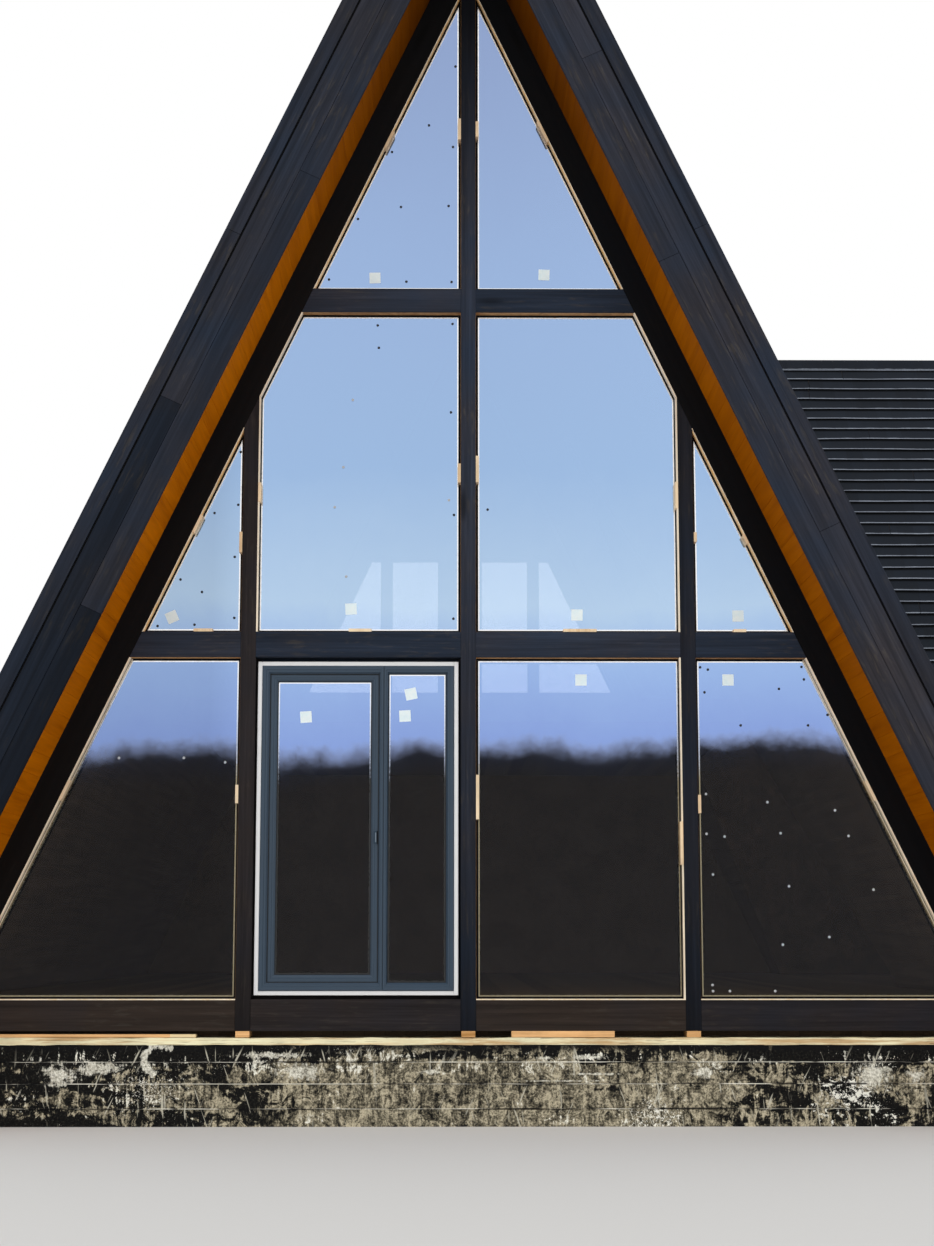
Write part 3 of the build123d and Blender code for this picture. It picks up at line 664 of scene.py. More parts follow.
def makeReveals():
    bm, strips = newPiece(), newPiece()
    far = paneFront - reveal["back"]
    profile = flat(facade + reveal["start"], far)
    for index, outline in enumerate(glazedBays.values()):
        addRing(bm, outline, inset(outline, reveal["skin"]), profile, reveal["tones"][index % 3])
    material = bareWood("raw reveal", sideGrain, reveal["pale"], reveal["dark"])
    finishPiece(bm, "raw-reveals", material)

    def addStrip(edge, low, high, front, back, tone):
        first, along, inward, length = edge
        corners = [tuple(first + along * a + inward * b) for a, b in box(0, length, low, high)]
        addPrism(strips, corners, front, back, tone)

    start, end = facade + reveal["stripStart"], facade + reveal["stripDepth"]
    beadWidth, beadDepth = reveal["bead"]
    beadEnd = facade + beadDepth - reveal["back"]
    bright = reveal["brightTone"]
    for name, outline in glazedBays.items():
        side = -1 if name.endswith("Left") else 1
        for edge in edgesOf(outline):
            along, inward = edge[1], edge[2]
            slanted = abs(along.x) > 0.05 and name.startswith("lowerSide")
            width = reveal["slantStrip"] if slanted else reveal["strip"]
            faced = inward.x * side < -0.3
            # in the top and side bays a bright bead lies in front, and the deeper strip's low tone is painted
            # shade deeper in the reveal
            if faced and name.startswith(reveal["warmBays"]):
                addStrip(edge, 0, beadWidth, start, beadEnd, bright)
                addStrip(edge, 0, width, facade + beadDepth, end, reveal["deepShadeTone"])
            elif faced:
                addStrip(edge, 0, width, start, end, bright)
                if slanted:
                    addStrip(edge, *reveal["lath"], bright)
            if inward.y > 0.9 and name.startswith(reveal["ledgeBays"]):
                addStrip(edge, *reveal["ledge"], facade - reveal["ledgeProud"], far, reveal["ledgeTone"])
    pale = bareWood("raw reveal strip", sideGrain, reveal["stripPale"], reveal["stripDark"])
    finishPiece(strips, "reveal-strips", pale)


makeReveals()
print("reveals laid in", len(glazedBays), "bays")


# Sealed panes

# The panes' colour and mirror share by height are a painted reflection of the sky: pale blue and mirror-like
# above about 2.5 m, clearer and greyer below, with drift and ripple making the line ragged; sideDims makes
# the leftmost panes darker.
glazing = {
    "gap": 0.011, "seal": 0.0135, "rim": 0.0055, "roughness": 0.03, "clearAt": 2.31, "mirrorAt": 2.50,
    "spacer": (0.30, 0.26, 0.17), "clearCover": 0.024, "mirrorCover": 0.86, "backCover": 0.02,
    "sideDims": ((-1.7, 0.82), (-1.4, 1.0), (0.0, 0.99), (1.4, 1.02), (1.7, 1.0)),
    "skyReflection": ((2.2, (0.38, 0.37, 0.40)), (2.5, (0.30, 0.43, 0.84)), (3.0, (0.38, 0.555, 0.92)),
        (3.4, (0.53, 0.71, 0.94)), (4.3, (0.395, 0.575, 0.87)), (5.6, (0.385, 0.54, 0.84)),
        (7.6, (0.325, 0.425, 0.69))),
    "butyl": ((0.3, (0.004, 0.004, 0.005)), (0.8, (0.02, 0.02, 0.022))), "butylGrit": (38, 4, 0.6),
    "drift": (0.7, 2, 0.5), "ripple": (7.0, 4, 0.6), "smears": ((3, 3, 1.4), 5, 0.65),
    "smearReach": (0.45, 0.75, 0.02, 0.10), "speckle": (45, 3, 0.6), "skyGlintReach": (2.0, 4.0, 0, 1),
    "edgeRough": (0.3, 0.7, 0.15, 0.35),
    # bright: the stops of the pane edges' painted sky glint
    "bright": ((0.30, (0.50, 0.56, 0.70)), (0.44, (0.86, 0.91, 1.0)), (0.60, (1.0, 1.0, 1.0))),
    "panes": {"top": "top_glass", "upper": "upper_glass", "side": "side_glass",
        "lowerSide": "lower_side_glass", "middle": "lower_right_glass"},
}


def makeGlazing(name, cover=None):
    material, spot = newMaterial(name, glazing["roughness"], 0.5, 1.0)
    _, depth, height = split(spot)
    drift = noise(spot, *glazing["drift"])
    height = drift * 0.5 + (height - 0.25)
    height = noise(spot, *glazing["ripple"]) * 0.16 + (height - 0.08)
    if cover is None:
        levels = [glazing[key] for key in ("clearAt", "mirrorAt", "clearCover", "mirrorCover")]
        inner = maths("GREATER_THAN", depth, paneFront + 0.003)
        share = mapped(height, *levels, "SMOOTHSTEP") * (1.0 - inner) + inner * glazing["backCover"]
    else:
        share = mapped(drift, 0.2, 0.8, cover * 0.9, cover * 1.1)
    smears = mapped(noise(spot, *glazing["smears"]), *glazing["smearReach"])
    # painted reflection: the colour by height stands for the sky the panes reflect
    dress(material, bands(height, glazing["skyReflection"]), smears, alpha=share)
    return shadeAlong(material, "X", glazing["sideDims"])


def spacerMetal(name, low):  # dull at the foot of a pane, with a painted glint of the sky that brightens it higher up
    material, spot = newMaterial(name, 0.2, 0.5, 1.0)
    speckle = noise(spot, *glazing["speckle"])
    height = mapped(speckle * 0.3 + split(spot)[2], *glazing["skyGlintReach"])
    rough = mapped(speckle, *glazing["edgeRough"])
    return dress(material, ramp(height, (0.18, low), *glazing["bright"]), rough)


def makePanes():
    glass = makeGlazing("glazing with painted sky reflection")
    seal = spacerMetal("pane edge with painted sky glint", glazing["spacer"])
    grit, relief = glazing["butylGrit"], (0.4, 0.002)
    butyl = speckled("black pane sealant", (0.65, 0.2), grit, glazing["butyl"], relief=relief)
    profile = flat(paneFront, stopFace)
    for kind, node in glazing["panes"].items():
        panes, seals, rims = newPiece(), newPiece(), newPiece()
        for side in ("Left", "Right"):
            if kind + side not in glazedBays:
                continue
            edge = inset(glazedBays[kind + side], glazing["gap"])
            pale = inset(edge, glazing["rim"])
            clear = inset(edge, glazing["seal"])
            addRing(rims, edge, inset(pale, -0.0001), profile)
            addRing(seals, pale, clear, profile)
            addPrism(panes, inset(clear, 0.0002), paneFront + 0.0005, stopFace - 0.0005)
        parts = ((panes, "-pane", glass), (seals, "-edge", seal), (rims, "-sealant", butyl))
        for bm, ending, material in parts:
            finishPiece(bm, pieceName(node, ending), material, [node])
    return glass


glassMaterial = makePanes()
print("panes sealed")


# Wooden wedges that hold the panes off the timbers: bay, a photograph pixel beside the wedge, and its length

wedge = {"width": 0.020, "gapWidth": 0.0105, "proud": 0.003, "ease": 0.0012, "pale": (1.0, 0.80, 0.55),
    "dark": (0.80, 0.54, 0.30)}
wedges = (
    ("topLeft", 388.5, 139, 0.130), ("topLeft", 459, 129, 0.150), ("topRight", 478, 129, 0.110),
    ("topRight", 545.5, 130, 0.160), ("upperLeft", 461, 473, 0.130), ("upperLeft", 263, 492, 0.130),
    ("upperLeft", 360, 631, 0.150), ("upperRight", 476, 469, 0.180), ("upperRight", 674, 495, 0.180),
    ("upperRight", 580, 631, 0.220), ("sideLeft", 198, 524, 0.130), ("sideLeft", 243, 542, 0.140),
    ("sideLeft", 203, 631, 0.125), ("sideRight", 693, 537, 0.065), ("sideRight", 746, 539, 0.065),
    ("sideRight", 740, 631, 0.085), ("lowerSideLeft", 60, 788, 0.145), ("lowerSideLeft", 238, 794, 0.120),
    ("middleRight", 477, 797, 0.290), ("middleRight", 683, 843, 0.280), ("lowerSideRight", 699, 804, 0.120),
    ("lowerSideRight", 872, 790, 0.145),
)


def makeWedges():
    bm = newPiece()
    tones = random.Random(4)
    near, step, far = facade - wedge["proud"], paneFront - 0.001, stopFace - 0.004
    width, narrow = wedge["width"], wedge["gapWidth"]
    section = [(0, near), (width, near), (width * 0.95, step), (narrow, step), (narrow, far), (0, far)]
    for bay, px, py, length in wedges:
        spot = Vector(photoPoint(px, py, facade))
        beside = []
        for first, along, inward, span in edgesOf(bays[bay]):
            reach = (spot - first).dot(along)
            if length / 2 < reach < span - length / 2:
                beside.append((abs((spot - first).dot(inward)), first + along * reach, along, inward))
        _, middle, along, inward = min(beside, key=lambda entry: entry[0])

        def place(a, b, depth, middle=middle, along=along, inward=inward):
            point = middle + along * depth + inward * a
            return point.x, b, point.y

        addPrism(bm, section, -length / 2, length / 2, tones.random(), place)
    easeEdges(bm, wedge["ease"])
    finishPiece(bm, "pane-wedges", bareWood("raw wedge", postGrain, wedge["pale"], wedge["dark"]))


makeWedges()
print("wedges set:", len(wedges))


# Blank stickers and small stand-off pads on the panes, placed by photograph pixels

sticker = {"size": 0.075, "thickness": 0.0006, "shader": (0.6, 0.3), "grit": (28, 4, 0.6),
    "paper": ((0.3, (0.80, 0.95, 1.0)), (0.7, (0.92, 1.0, 1.0))), "relief": (0.3, 0.001)}
stickers = ((375, 278, 2), (544, 275, -2), (351, 609, 3), (577, 615, -1), (738, 616, 1), (172, 617, 24),
    (728, 680, 0), (306, 717, 4), (405, 716, 3), (411, 694, 12), (581, 680, 0))
pad = {"radius": 0.009, "height": 0.0025, "sides": 12,
    "dark": ((0, (0.012, 0.014, 0.02)), (1, (0.03, 0.034, 0.045))),
    "pale": ((0, (0.42, 0.44, 0.46)), (1, (0.55, 0.57, 0.58)))}
pads = {
    "dark": (
        (455.5, 66.5), (429, 125.4), (392, 152), (453, 147), (401, 207), (358, 219), (448.6, 206),
        (329, 279.5), (406.4, 281.7), (451.5, 282), (377.7, 325.4), (452.5, 323.9), (378.9, 347.8),
        (451, 412.4), (454, 515), (453.4, 618.7), (240.8, 452), (238.3, 504.8), (234.7, 556.9),
        (157.5, 626), (194.4, 624.7), (234.3, 617.9), (214.5, 513), (180.5, 579.5), (202, 592),
        (487.6, 509.6), (700.1, 667.3), (707.9, 669.6), (801.5, 666.9), (803.9, 679.4), (778.9, 688.9),
        (704.5, 692.3), (740.7, 725.4), (808, 725.4), (827.6, 714.9),
    ),
    "pale": (
        (352.8, 400), (343.4, 467.2), (334.7, 507.2), (346.2, 576.6), (448.9, 500.2), (705.9, 794.1),
        (767.4, 802.2), (835, 810.3), (780.6, 833.3), (706.5, 833.9), (724.5, 836.6), (848.5, 836),
        (713, 874.5), (789, 886.3), (873.5, 889.7), (829.3, 937.1), (782.9, 944.8), (712.5, 985),
        (713, 991.1), (729.9, 991.1), (775.2, 991.1), (183.9, 757.9), (225.2, 762.3), (119, 758),
    ),
}


def glassFront(px, py):  # the body, depth and place of the pane that a pixel of the photograph shows
    for node, body in (("door_leaf_glass", "door_leaf"), ("sidelight_glass", "house")):
        low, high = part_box(node)
        x, z = photoPoint(px, py, low.y)
        if low.x < x < high.x and low.z < z < high.z:
            return body, low.y, x, z
    return "house", paneFront, *photoPoint(px, py, paneFront)


def makeStickers():
    finish = [sticker[key] for key in ("shader", "grit", "paper")]
    material = speckled("blank paper sticker", *finish, relief=sticker["relief"])
    pieces = {"house": newPiece(), "door_leaf": newPiece()}
    half = sticker["size"] / 2
    for px, py, turn in stickers:
        body, depth, x, z = glassFront(px, py)
        turned = Matrix.Rotation(math.radians(turn), 2)
        square = [turned @ Vector(corner) for corner in box(-half, half, -half, half)]
        corners = [(x + a, z + b) for a, b in square]
        addPrism(pieces[body], corners, depth - sticker["thickness"], depth - 0.0001)
    for body, bm in pieces.items():
        finishPiece(bm, "stickers-" + pieceName(body, ""), material, body=body)


def makePads():
    radius = pad["radius"]
    for name, spots in pads.items():
        bm = newPiece()
        for px, py in spots:
            _, depth, x, z = glassFront(px, py)
            turns = [step * math.tau / pad["sides"] for step in range(pad["sides"])]
            circle = [(x + radius * math.cos(turn), z + radius * math.sin(turn)) for turn in turns]
            front, back = depth - pad["height"], depth - 0.0001
            profile = (0, back), (0, depth - pad["height"] * 0.5), (0.35, front), (1, front), (1, back)
            addRing(bm, circle, inset(circle, radius * 0.6), profile)
            addPrism(bm, inset(circle, radius * 0.59), front, back)
        material = speckled(name + " rubber pad", (0.5, 0.4), (300, 2, 0.5), pad[name], relief=(0.1, 0.0004))
        finishPiece(bm, name + "-pads", material)


makeStickers()
makePads()
print("stickers and pads on the panes")


# Rake boards: three rows on each slope, butt-jointed, front and back. Rows are measured square from the deck.

rake = {"thickness": 0.025, "rows": ((-0.030, 0.115), (0.117, 0.262), (0.276, 0.378)), "jointGap": 0.0012,
    "ease": 0.0022, "level": 1.35, "warmth": 0.14, "toneRange": 1.30}
rakeJoints = {  # row, and a photograph pixel on the joint
    -1: ((2, 237, 233), (1, 175, 402), (0, 300, 170), (0, 92, 610)),
    1: ((0, 674, 255), (1, 593, 54), (2, 704, 225), (1, 845, 520)),
}
rakeTones = {  # row by row, from the apex down; the near-zero tones low on the left slope are painted shade
    -1: ((0.48, 0.42, 0.02), (0.53, 0.14), (0.48, 0.40)),
    1: ((0.58, 0.62), (0.80, 0.66, 0.72), (0.48, 0.52)),
}


def addRakeBoards(bm, side, near):
    half = rake["jointGap"] / 2
    for row, (low, high) in enumerate(rake["rows"]):
        joints = [photoPoint(px, py, vergeFront) for jointRow, px, py in rakeJoints[side] if jointRow == row]
        stations = sorted(abs(x) * slopeCos + (deckApex - z) * slopeSin for x, z in joints)
        stations = [-2.0, *stations, (deckApex - roof["eaves"]) / slopeSin + 1]
        tones = rakeTones[side][row]
        for index, (start, end) in enumerate(zip(stations, stations[1:])):
            outline = [(side * x, z) for x, z in slopeBoard(start + half, end - half, low, high)]
            addPrism(bm, outline, near, near + rake["thickness"], tones[index % len(tones)])


def makeRakeBoards():
    settings = {**stain, "toneRange": rake["toneRange"]}
    material = stainedWood("stained rake board", slopeGrain, rake["level"], rake["warmth"], settings)
    rearFront = vergeBack - rake["thickness"]
    pieces = (("left", [-1], vergeFront, "front_fascia_left"),
        ("right", [1], vergeFront, "front_fascia_right"), ("rear", [-1, 1], rearFront, "rear_fascia"))
    for label, sides, near, node in pieces:
        bm = newPiece()
        for side in sides:
            addRakeBoards(bm, side, near)
        easeEdges(bm, rake["ease"])
        finishPiece(bm, "rake-boards-" + label, material, [node])


makeRakeBoards()
print("rake boards hung")


# Soffit boards, laid from the wall out to the rake boards

soffit = {"boardWidth": 0.140, "gap": 0.0006, "ease": 0.0015, "dark": (0.44, 0.112, 0.0006),
    "pale": (0.72, 0.205, 0.0010), "shade": (4.9, 8.0, 1.0, 0.20), "sides": (-0.5, 0.5, 1.12, 0.80),
    "fibres": (70, 2.2, 4, 0.6), "bands": (16, 0.9, 3, 0.5, 0.7), "shader": (0.70, 0.02),
    "weights": (0.6, 0.3, 0.12, -0.03), "span": (0.25, 0.75), "rough": (0.2, 0.8, 0.60, 0.78),
    "relief": (0.2, 0.0012)}


def soffitLight(spot):  # painted shade: darker towards the ridge and on the right
    across, _, height = split(spot)
    return mapped(height, *soffit["shade"], "SMOOTHSTEP") * mapped(across, *soffit["sides"])


def makeSoffits():
    material = layeredWood("amber soffit", soffitGrain, soffit["pale"], soffit["dark"], soffit, soffitLight)
    tones = random.Random(9)
    width, half = soffit["boardWidth"], soffit["gap"] / 2
    for name, near, far in (("front", slabFront, facade), ("rear", rearFace, slabBack)):
        bm = newPiece()
        for side in (-1, 1):
            station = -0.1
            while station < (deckApex - roof["eaves"]) / slopeSin + 0.1:
                board = slopeBoard(station + half, station + width - half, -roof["soffit"], 0)
                if len(board) > 2:
                    addPrism(bm, [(side * x, z) for x, z in board], near, far, tones.random())
                station += width
        easeEdges(bm, soffit["ease"])
        finishPiece(bm, name + "-soffit-boards", material, [name + "_soffit"])


makeSoffits()
print("soffit boards laid")


# Grey plastic profiles: the door unit and the windows

profiles = {"colour": (0.030, 0.051, 0.078), "roughness": 0.42, "lift": 1.35,
    "gasket": ((0.4, (0.008, 0.009, 0.011)), (0.75, (0.03, 0.032, 0.036)))}
door = {
    "face": 0.052, "gasket": 0.006, "edge": 0.0135, "overlap": 0.006, "groove": 0.015, "rebate": 0.015,
    "lipGap": 0.005, "edgeColour": (0.045, 0.045, 0.045), "stripEase": 0.002, "handleEase": 0.0015,
    "fittingEase": 0.0004, "paneGap": 0.0002, "pull": (0.005, -0.041),
    "pullPlate": (-0.0055, 0.0015, 0.062, 0.0015), "pullShadow": (0.0046, 0.0104, 0.086, 0.0012),
    "white": ((0.2, (0.90, 0.90, 0.89)), (0.45, (1.0, 1.0, 1.0))),
    "metal": ((0.35, (0.03, 0.034, 0.040)), (0.75, (0.085, 0.09, 0.10))),
    "coat": ((0.4, (0.003, 0.0034, 0.005)), (0.8, (0.015, 0.016, 0.019))), "coatLift": 1.4,
    "slot": ((0.4, (0.002, 0.002, 0.003)), (0.8, (0.008, 0.008, 0.010))),
    "plate": ((0.3, (0.16, 0.20, 0.24)), (0.7, (0.26, 0.31, 0.36))),
}


def lifted(factor):
    return tuple(value * factor for value in profiles["colour"])


def greyPlastic():
    material, spot = newMaterial("grey moulded profile", profiles["roughness"], 0.4)
    haze = noise(spot, 3.5, 4, 0.6)
    colour = mixed(haze, profiles["colour"], lifted(profiles["lift"]))
    peel = bump(noise(spot, 420, 2, 0.5), 0.08, 0.0004)
    return dress(material, colour, mapped(haze, 0.3, 0.7, 0.36, 0.52), peel)


plastic = greyPlastic()
gasketRubber = speckled("black gasket", (0.6, 0.3), (45, 4, 0.6), profiles["gasket"], (0.3, 0.7, 0.5, 0.75))
edgeMaterial = spacerMetal("door pane edge", door["edgeColour"])


def ringPiece(name, material, slot, replaced, body, *rings):  # a ring has two outlines and a profile
    bm = newPiece()
    for ring in rings:
        addRing(bm, *ring)
    finishPiece(bm, name, material, replaced, body)


def addGlass(name, node, view, body):  # the pane, and the bright spacer just inside the gasket, flush on it
    bm = newPiece()
    front, back = (corner.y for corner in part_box(node))
    ring = inset(view, door["gasket"]), inset(view, door["edge"]), flat(front - 0.0006, front + 0.0002)
    ringPiece(name + "-edge", edgeMaterial, "glazing", [], body, ring)
    addPrism(bm, frontBox(node, door["paneGap"]), front + door["paneGap"], back - door["paneGap"])
    finishPiece(bm, name + "-pane", glassMaterial, [node], body)


def makeDoorFrame():
    low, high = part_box("door_frame")
    leafView, lightView = frontBox("door_leaf", door["overlap"]), frontBox("sidelight_glass", door["groove"])
    lightFront, lightBack = ends("sidelight_glass", "y")
    middle = (leafView[1][0] + lightView[0][0]) / 2
    front, back = low.y, high.y
    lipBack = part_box("door_leaf")[0].y - door["lipGap"]
    rebateShare = 1 - door["rebate"] / door["face"]
    moulding = ((0, front + 0.010), (0.07, front + 0.010), (0.10, front), (0.50, front),
        (0.54, front + 0.004))
    leafProfile = (*moulding, (0.78, front + 0.004), (1, front + 0.015), (1, lipBack), (rebateShare, lipBack),
        (rebateShare, back), (0, back))
    lightProfile = (*moulding, (0.76, front + 0.004), (1, front + 0.018), (1, lightFront), (0.72, lightFront),
        (0.72, lightBack), (1, lightBack), (1, back - 0.006), (0.90, back), (0, back))
    ringPiece("door-frame-moulded", plastic, "grey_frame", ["door_frame"], "house",
              (box(low.x, middle, low.z, high.z), leafView, leafProfile),
              (box(middle, high.x, low.z, high.z), lightView, lightProfile))
    lipSeal = flat(lipBack - 0.001, lipBack + 0.002)
    glassSeal = ((0, lightFront - 0.003), (1, lightFront - 0.002), (1, lightFront), (0, lightFront))
    ringPiece("door-frame-gaskets", gasketRubber, "grey_frame", [], "house",
              (inset(leafView, -0.004), inset(leafView, door["gasket"]), lipSeal),
              (lightView, inset(lightView, door["gasket"]), glassSeal))
    addGlass("sidelight", "sidelight_glass", lightView, "house")


def makeDoorLeaf():
    front, back = ends("door_leaf", "y")
    glassFace, glassBack = ends("door_leaf_glass", "y")
    view = frontBox("door_leaf_glass", door["groove"])
    profile = ((0, front + 0.002), (0.04, front), (0.56, front), (0.60, front + 0.003), (0.76, front + 0.003),
        (1, front + 0.0115), (1, glassFace), (0.74, glassFace), (0.74, glassBack), (1, glassBack),
        (1, back - 0.005), (0.86, back), (0.04, back), (0, back - 0.002))
    leaf = frontBox("door_leaf", 0), view, profile
    ringPiece("door-leaf-moulded", plastic, "grey_frame", ["door_leaf"], "door_leaf", leaf)
    seal = ((0, glassFace - 0.0025), (1, glassFace - 0.0015), (1, glassFace), (0, glassFace))
    ring = view, inset(view, door["gasket"]), seal
    ringPiece("door-leaf-gasket", gasketRubber, "grey_frame", [], "door_leaf", ring)
    addGlass("door-leaf", "door_leaf_glass", view, "door_leaf")


def handleCoat():  # black inside, as grey as the leaf outside
    material, spot = newMaterial("black coated handle", 0.5, 0.06)
    scuffs = noise(spot, 60, 4, 0.65)
    outside = maths("LESS_THAN", split(spot)[1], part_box("door_leaf")[0].y)
    grey = ramp(scuffs, (0.4, profiles["colour"]), (0.8, lifted(door["coatLift"])))
    colour = mixed(outside, ramp(scuffs, *door["coat"]), grey)
    return dress(material, colour, mapped(scuffs, 0.3, 0.7, 0.42, 0.62))


def makeDoorFittings():
    strip = speckled("white mounting strip", (0.55, 0.35), (5, 5, 0.65), door["white"], relief=(0.1, 0.001))
    easedCopy("door_mounting_strip", "mounting-strip-eased", strip, door["stripEase"])
    rough, relief = (0.3, 0.7, 0.30, 0.5), (0.1, 0.0004)
    metal = speckled("dark coated metal", (0.4, 0.5, 0.85), (90, 4, 0.65), door["metal"], rough, relief)
    dressNodes(("door_hinge_pins", "door_hinge_knuckles"), metal)

    handle = copyOf("door_handle")
    easeEdges(handle, door["handleEase"], 2)
    finishPiece(handle, "door-handle-eased", handleCoat(), ["door_handle"], "door_leaf", True)
    low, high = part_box("door_handle")
    shiftX, shiftZ = door["pull"]
    pullX, pullZ = (low.x + high.x) / 2 + shiftX, high.z + shiftZ
    # a thin black sheet beside the pull, in the slot colours, is painted shadow: the pull's side shadow on
    # the leaf
    shadowFinish = speckled("black pull shadow", (0.7, 0.05), (130, 3, 0.6), door["slot"])
    grit, rough = ((140, 140, 12), 4, 0.6), (0.3, 0.7, 0.30, 0.45)
    plateFinish = speckled("pale pull plate", (0.35, 0.5, 0.3), grit, door["plate"], rough)
    fittings = (("door-pull-shadow", door["pullShadow"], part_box("door_leaf")[0].y, shadowFinish, []),
        ("door-pull-plate", door["pullPlate"], low.y, plateFinish, ["door_handle"]))
    for name, (left, right, length, thickness), back, material, replaced in fittings:
        bm = newPiece()
        outline = box(pullX + left, pullX + right, pullZ - length / 2, pullZ + length / 2)
        addPrism(bm, outline, back - thickness, back)
        easeEdges(bm, door["fittingEase"])
        finishPiece(bm, name, material, replaced, "door_leaf")


makeDoorFrame()
makeDoorLeaf()
makeDoorFittings()
print("door unit fitted")


# Lapped roof courses, grown by Geometry Nodes on a flat sheet and laid on each slope

courses = {
    "exposure": 0.134, "boardWidth": 0.150, "boardLength": 3.2, "segments": 14, "gap": 0.004,
    "mainLip": 0.0122, "wingLip": 0.0165, "head": 0.0025, "wave": 0.010, "spare": 0.05, "trim": 0.0005,
    "face": (0.0085, 0.0118, 0.0180), "paintedLipHighlight": (0.21, 0.235, 0.28), "tab": 0.150, "roughness": 0.62,
    "fibres": {"X": (90, 5, 5), "Y": (5, 90, 5)}, "steep": 0.885, "capEase": 0.003,
    "clouds": (1.1, 4, 0.6), "wander": ((7, 7, 1), 3, 0.6), "lipHighlightReach": (0.905, 0.935, 0, 1),
    "tabLight": (0, 1, 0.86, 1.14), "headShade": (0.19, 0.34, 0.12, 1.0),
    "footShade": (0.992, 0.998, 1.0, 0.06), "fibreLight": (0.25, 0.75, 0.82, 1.2),
    "cloudLight": (0.3, 0.7, 0.85, 1.15), "roughReach": (0.2, 0.8, 0.52, 0.74), "relief": (0.35, 0.002),
}


def courseTree():
    tree = bpy.data.node_groups.new("lapped courses", "GeometryNodeTree")
    kinds = {"Int": ("rows", "columns", "seed"), "Material": ("finish",),
        "Float": ("exposure", "boardLength", "boardWidth", "gap", "lip", "head", "wave")}
    for kind, names in kinds.items():
        for name in names:
            tree.interface.new_socket(name, in_out="INPUT", socket_type="NodeSocket" + kind)
    tree.interface.new_socket("Courses", in_out="OUTPUT", socket_type="NodeSocketGeometry")
    given = {socket.name: Signal(socket) for socket in addNode("NodeGroupInput", tree=tree).outputs}
    length, width, exposure = given["boardLength"], given["boardWidth"], given["exposure"]
    place = signal("GeometryNodeInputPosition", tree=tree)
    x, y, z = split(place)

    def moved(geometry, **inputs):
        return signal("GeometryNodeSetPosition", {"Geometry": geometry, **inputs})

    def stored(geometry, name, value, domain):
        inputs = {"Geometry": geometry, "Name": name, "Value": value}
        return signal("GeometryNodeStoreNamedAttribute", inputs, data_type="FLOAT", domain=domain)

    def chance(key, seed):  # a random number from 0 to 1 for each key
        made = addNode("FunctionNodeRandomValue", {"ID": key, "Seed": seed}, data_type="FLOAT")
        return Signal(next(socket for socket in made.outputs if socket.enabled))

    spanX, spanY = (given["columns"] - 1) * length, (given["rows"] - 1) * exposure
    counts = {"Size X": spanX, "Size Y": spanY, "Vertices X": given["columns"], "Vertices Y": given["rows"]}
    points = moved(signal("GeometryNodeMeshGrid", counts, "Mesh"), Offset=joined(spanX * 0.5, spanY * 0.5))
    slide = chance(maths("ROUND", y / exposure), given["seed"])
    points = moved(points, Offset=joined(slide * -0.95 * length))

    size = {"Size": joined(length - given["gap"], width, 1.0), "Vertices X": courses["segments"],
        "Vertices Y": 2, "Vertices Z": 2}
    upShare = y / width + 0.5
    board = stored(signal("GeometryNodeMeshCube", size, "Mesh"), "drop", 1.0 - upShare, "POINT")
    thickness = mapped(upShare, 0.0, 1.0, given["lip"], given["head"])
    board = moved(board, Position=joined(x + length * 0.5, y + width * 0.5, (z + 0.5) * thickness))

    laid = signal("GeometryNodeInstanceOnPoints", {"Points": points, "Instance": board})
    index = signal("GeometryNodeInputIndex", tree=tree)
    laid = stored(laid, "tone", chance(index, given["seed"] + 7), "INSTANCE")
    solid = signal("GeometryNodeRealizeInstances", {"Geometry": laid})
    shift = (noise(place, (1.7, 4.1, 0.0), 2, 0.5) - 0.5) * (given["wave"] * 2.5)
    solid = moved(solid, Offset=joined(0.0, maths("MAXIMUM", shift, given["wave"] * -0.6)))
    finished = signal("GeometryNodeSetMaterial", {"Geometry": solid, "Material": given["finish"]})
    addNode("NodeGroupOutput", {"Courses": finished})
    return tree


def seamLight(station, edge, level):  # dark where two boards or tabs meet
    return mapped(abs(maths("FRACT", station) - 0.5), 0.485, edge, 1.0, level)


def roofFinish(name, sideAxis, lift=1.0):
    material, spot = newMaterial(name, courses["roughness"], 0.12)
    parts = dict(zip("XYZ", split(spot)))
    rowNumber = maths("FLOOR", parts["Z"] / (courses["exposure"] * courses["steep"]))
    station = parts[sideAxis] / courses["tab"] + whiteNoise(rowNumber)
    tabTone = whiteNoise(joined(maths("FLOOR", station), rowNumber), "3D")
    fibres = noise(spot, courses["fibres"][sideAxis], 4, 0.6)
    clouds = noise(spot, *courses["clouds"])
    drop = attribute(spot, "drop")  # from 0 at a course's head to 1 at its lower edge
    wander = noise(spot, *courses["wander"]) * 0.10 - 0.05
    # painted highlight: a pale line along the lower edge of each course
    lip = mapped(drop + wander, *courses["lipHighlightReach"])
    light = mapped(tabTone, *courses["tabLight"]) * seamLight(station, 0.5, 0.72)
    # headShade paints the shadow of the next course's lip, and footShade paints the lip's own face dark:
    # painted shade
    light = light * mapped(drop, *courses["headShade"], "SMOOTHSTEP") * mapped(drop, *courses["footShade"])
    light = light * mapped(fibres, *courses["fibreLight"]) * mapped(clouds, *courses["cloudLight"])
    light = light * mapped(attribute(spot, "tone"), 0, 1, 0.88 * lift, 1.12 * lift)
    colour = dimmed(mixed(lip, courses["face"], courses["paintedLipHighlight"]), light)
    rough = mapped(fibres, *courses["roughReach"])
    return dress(material, colour, rough, bump(fibres, *courses["relief"]))


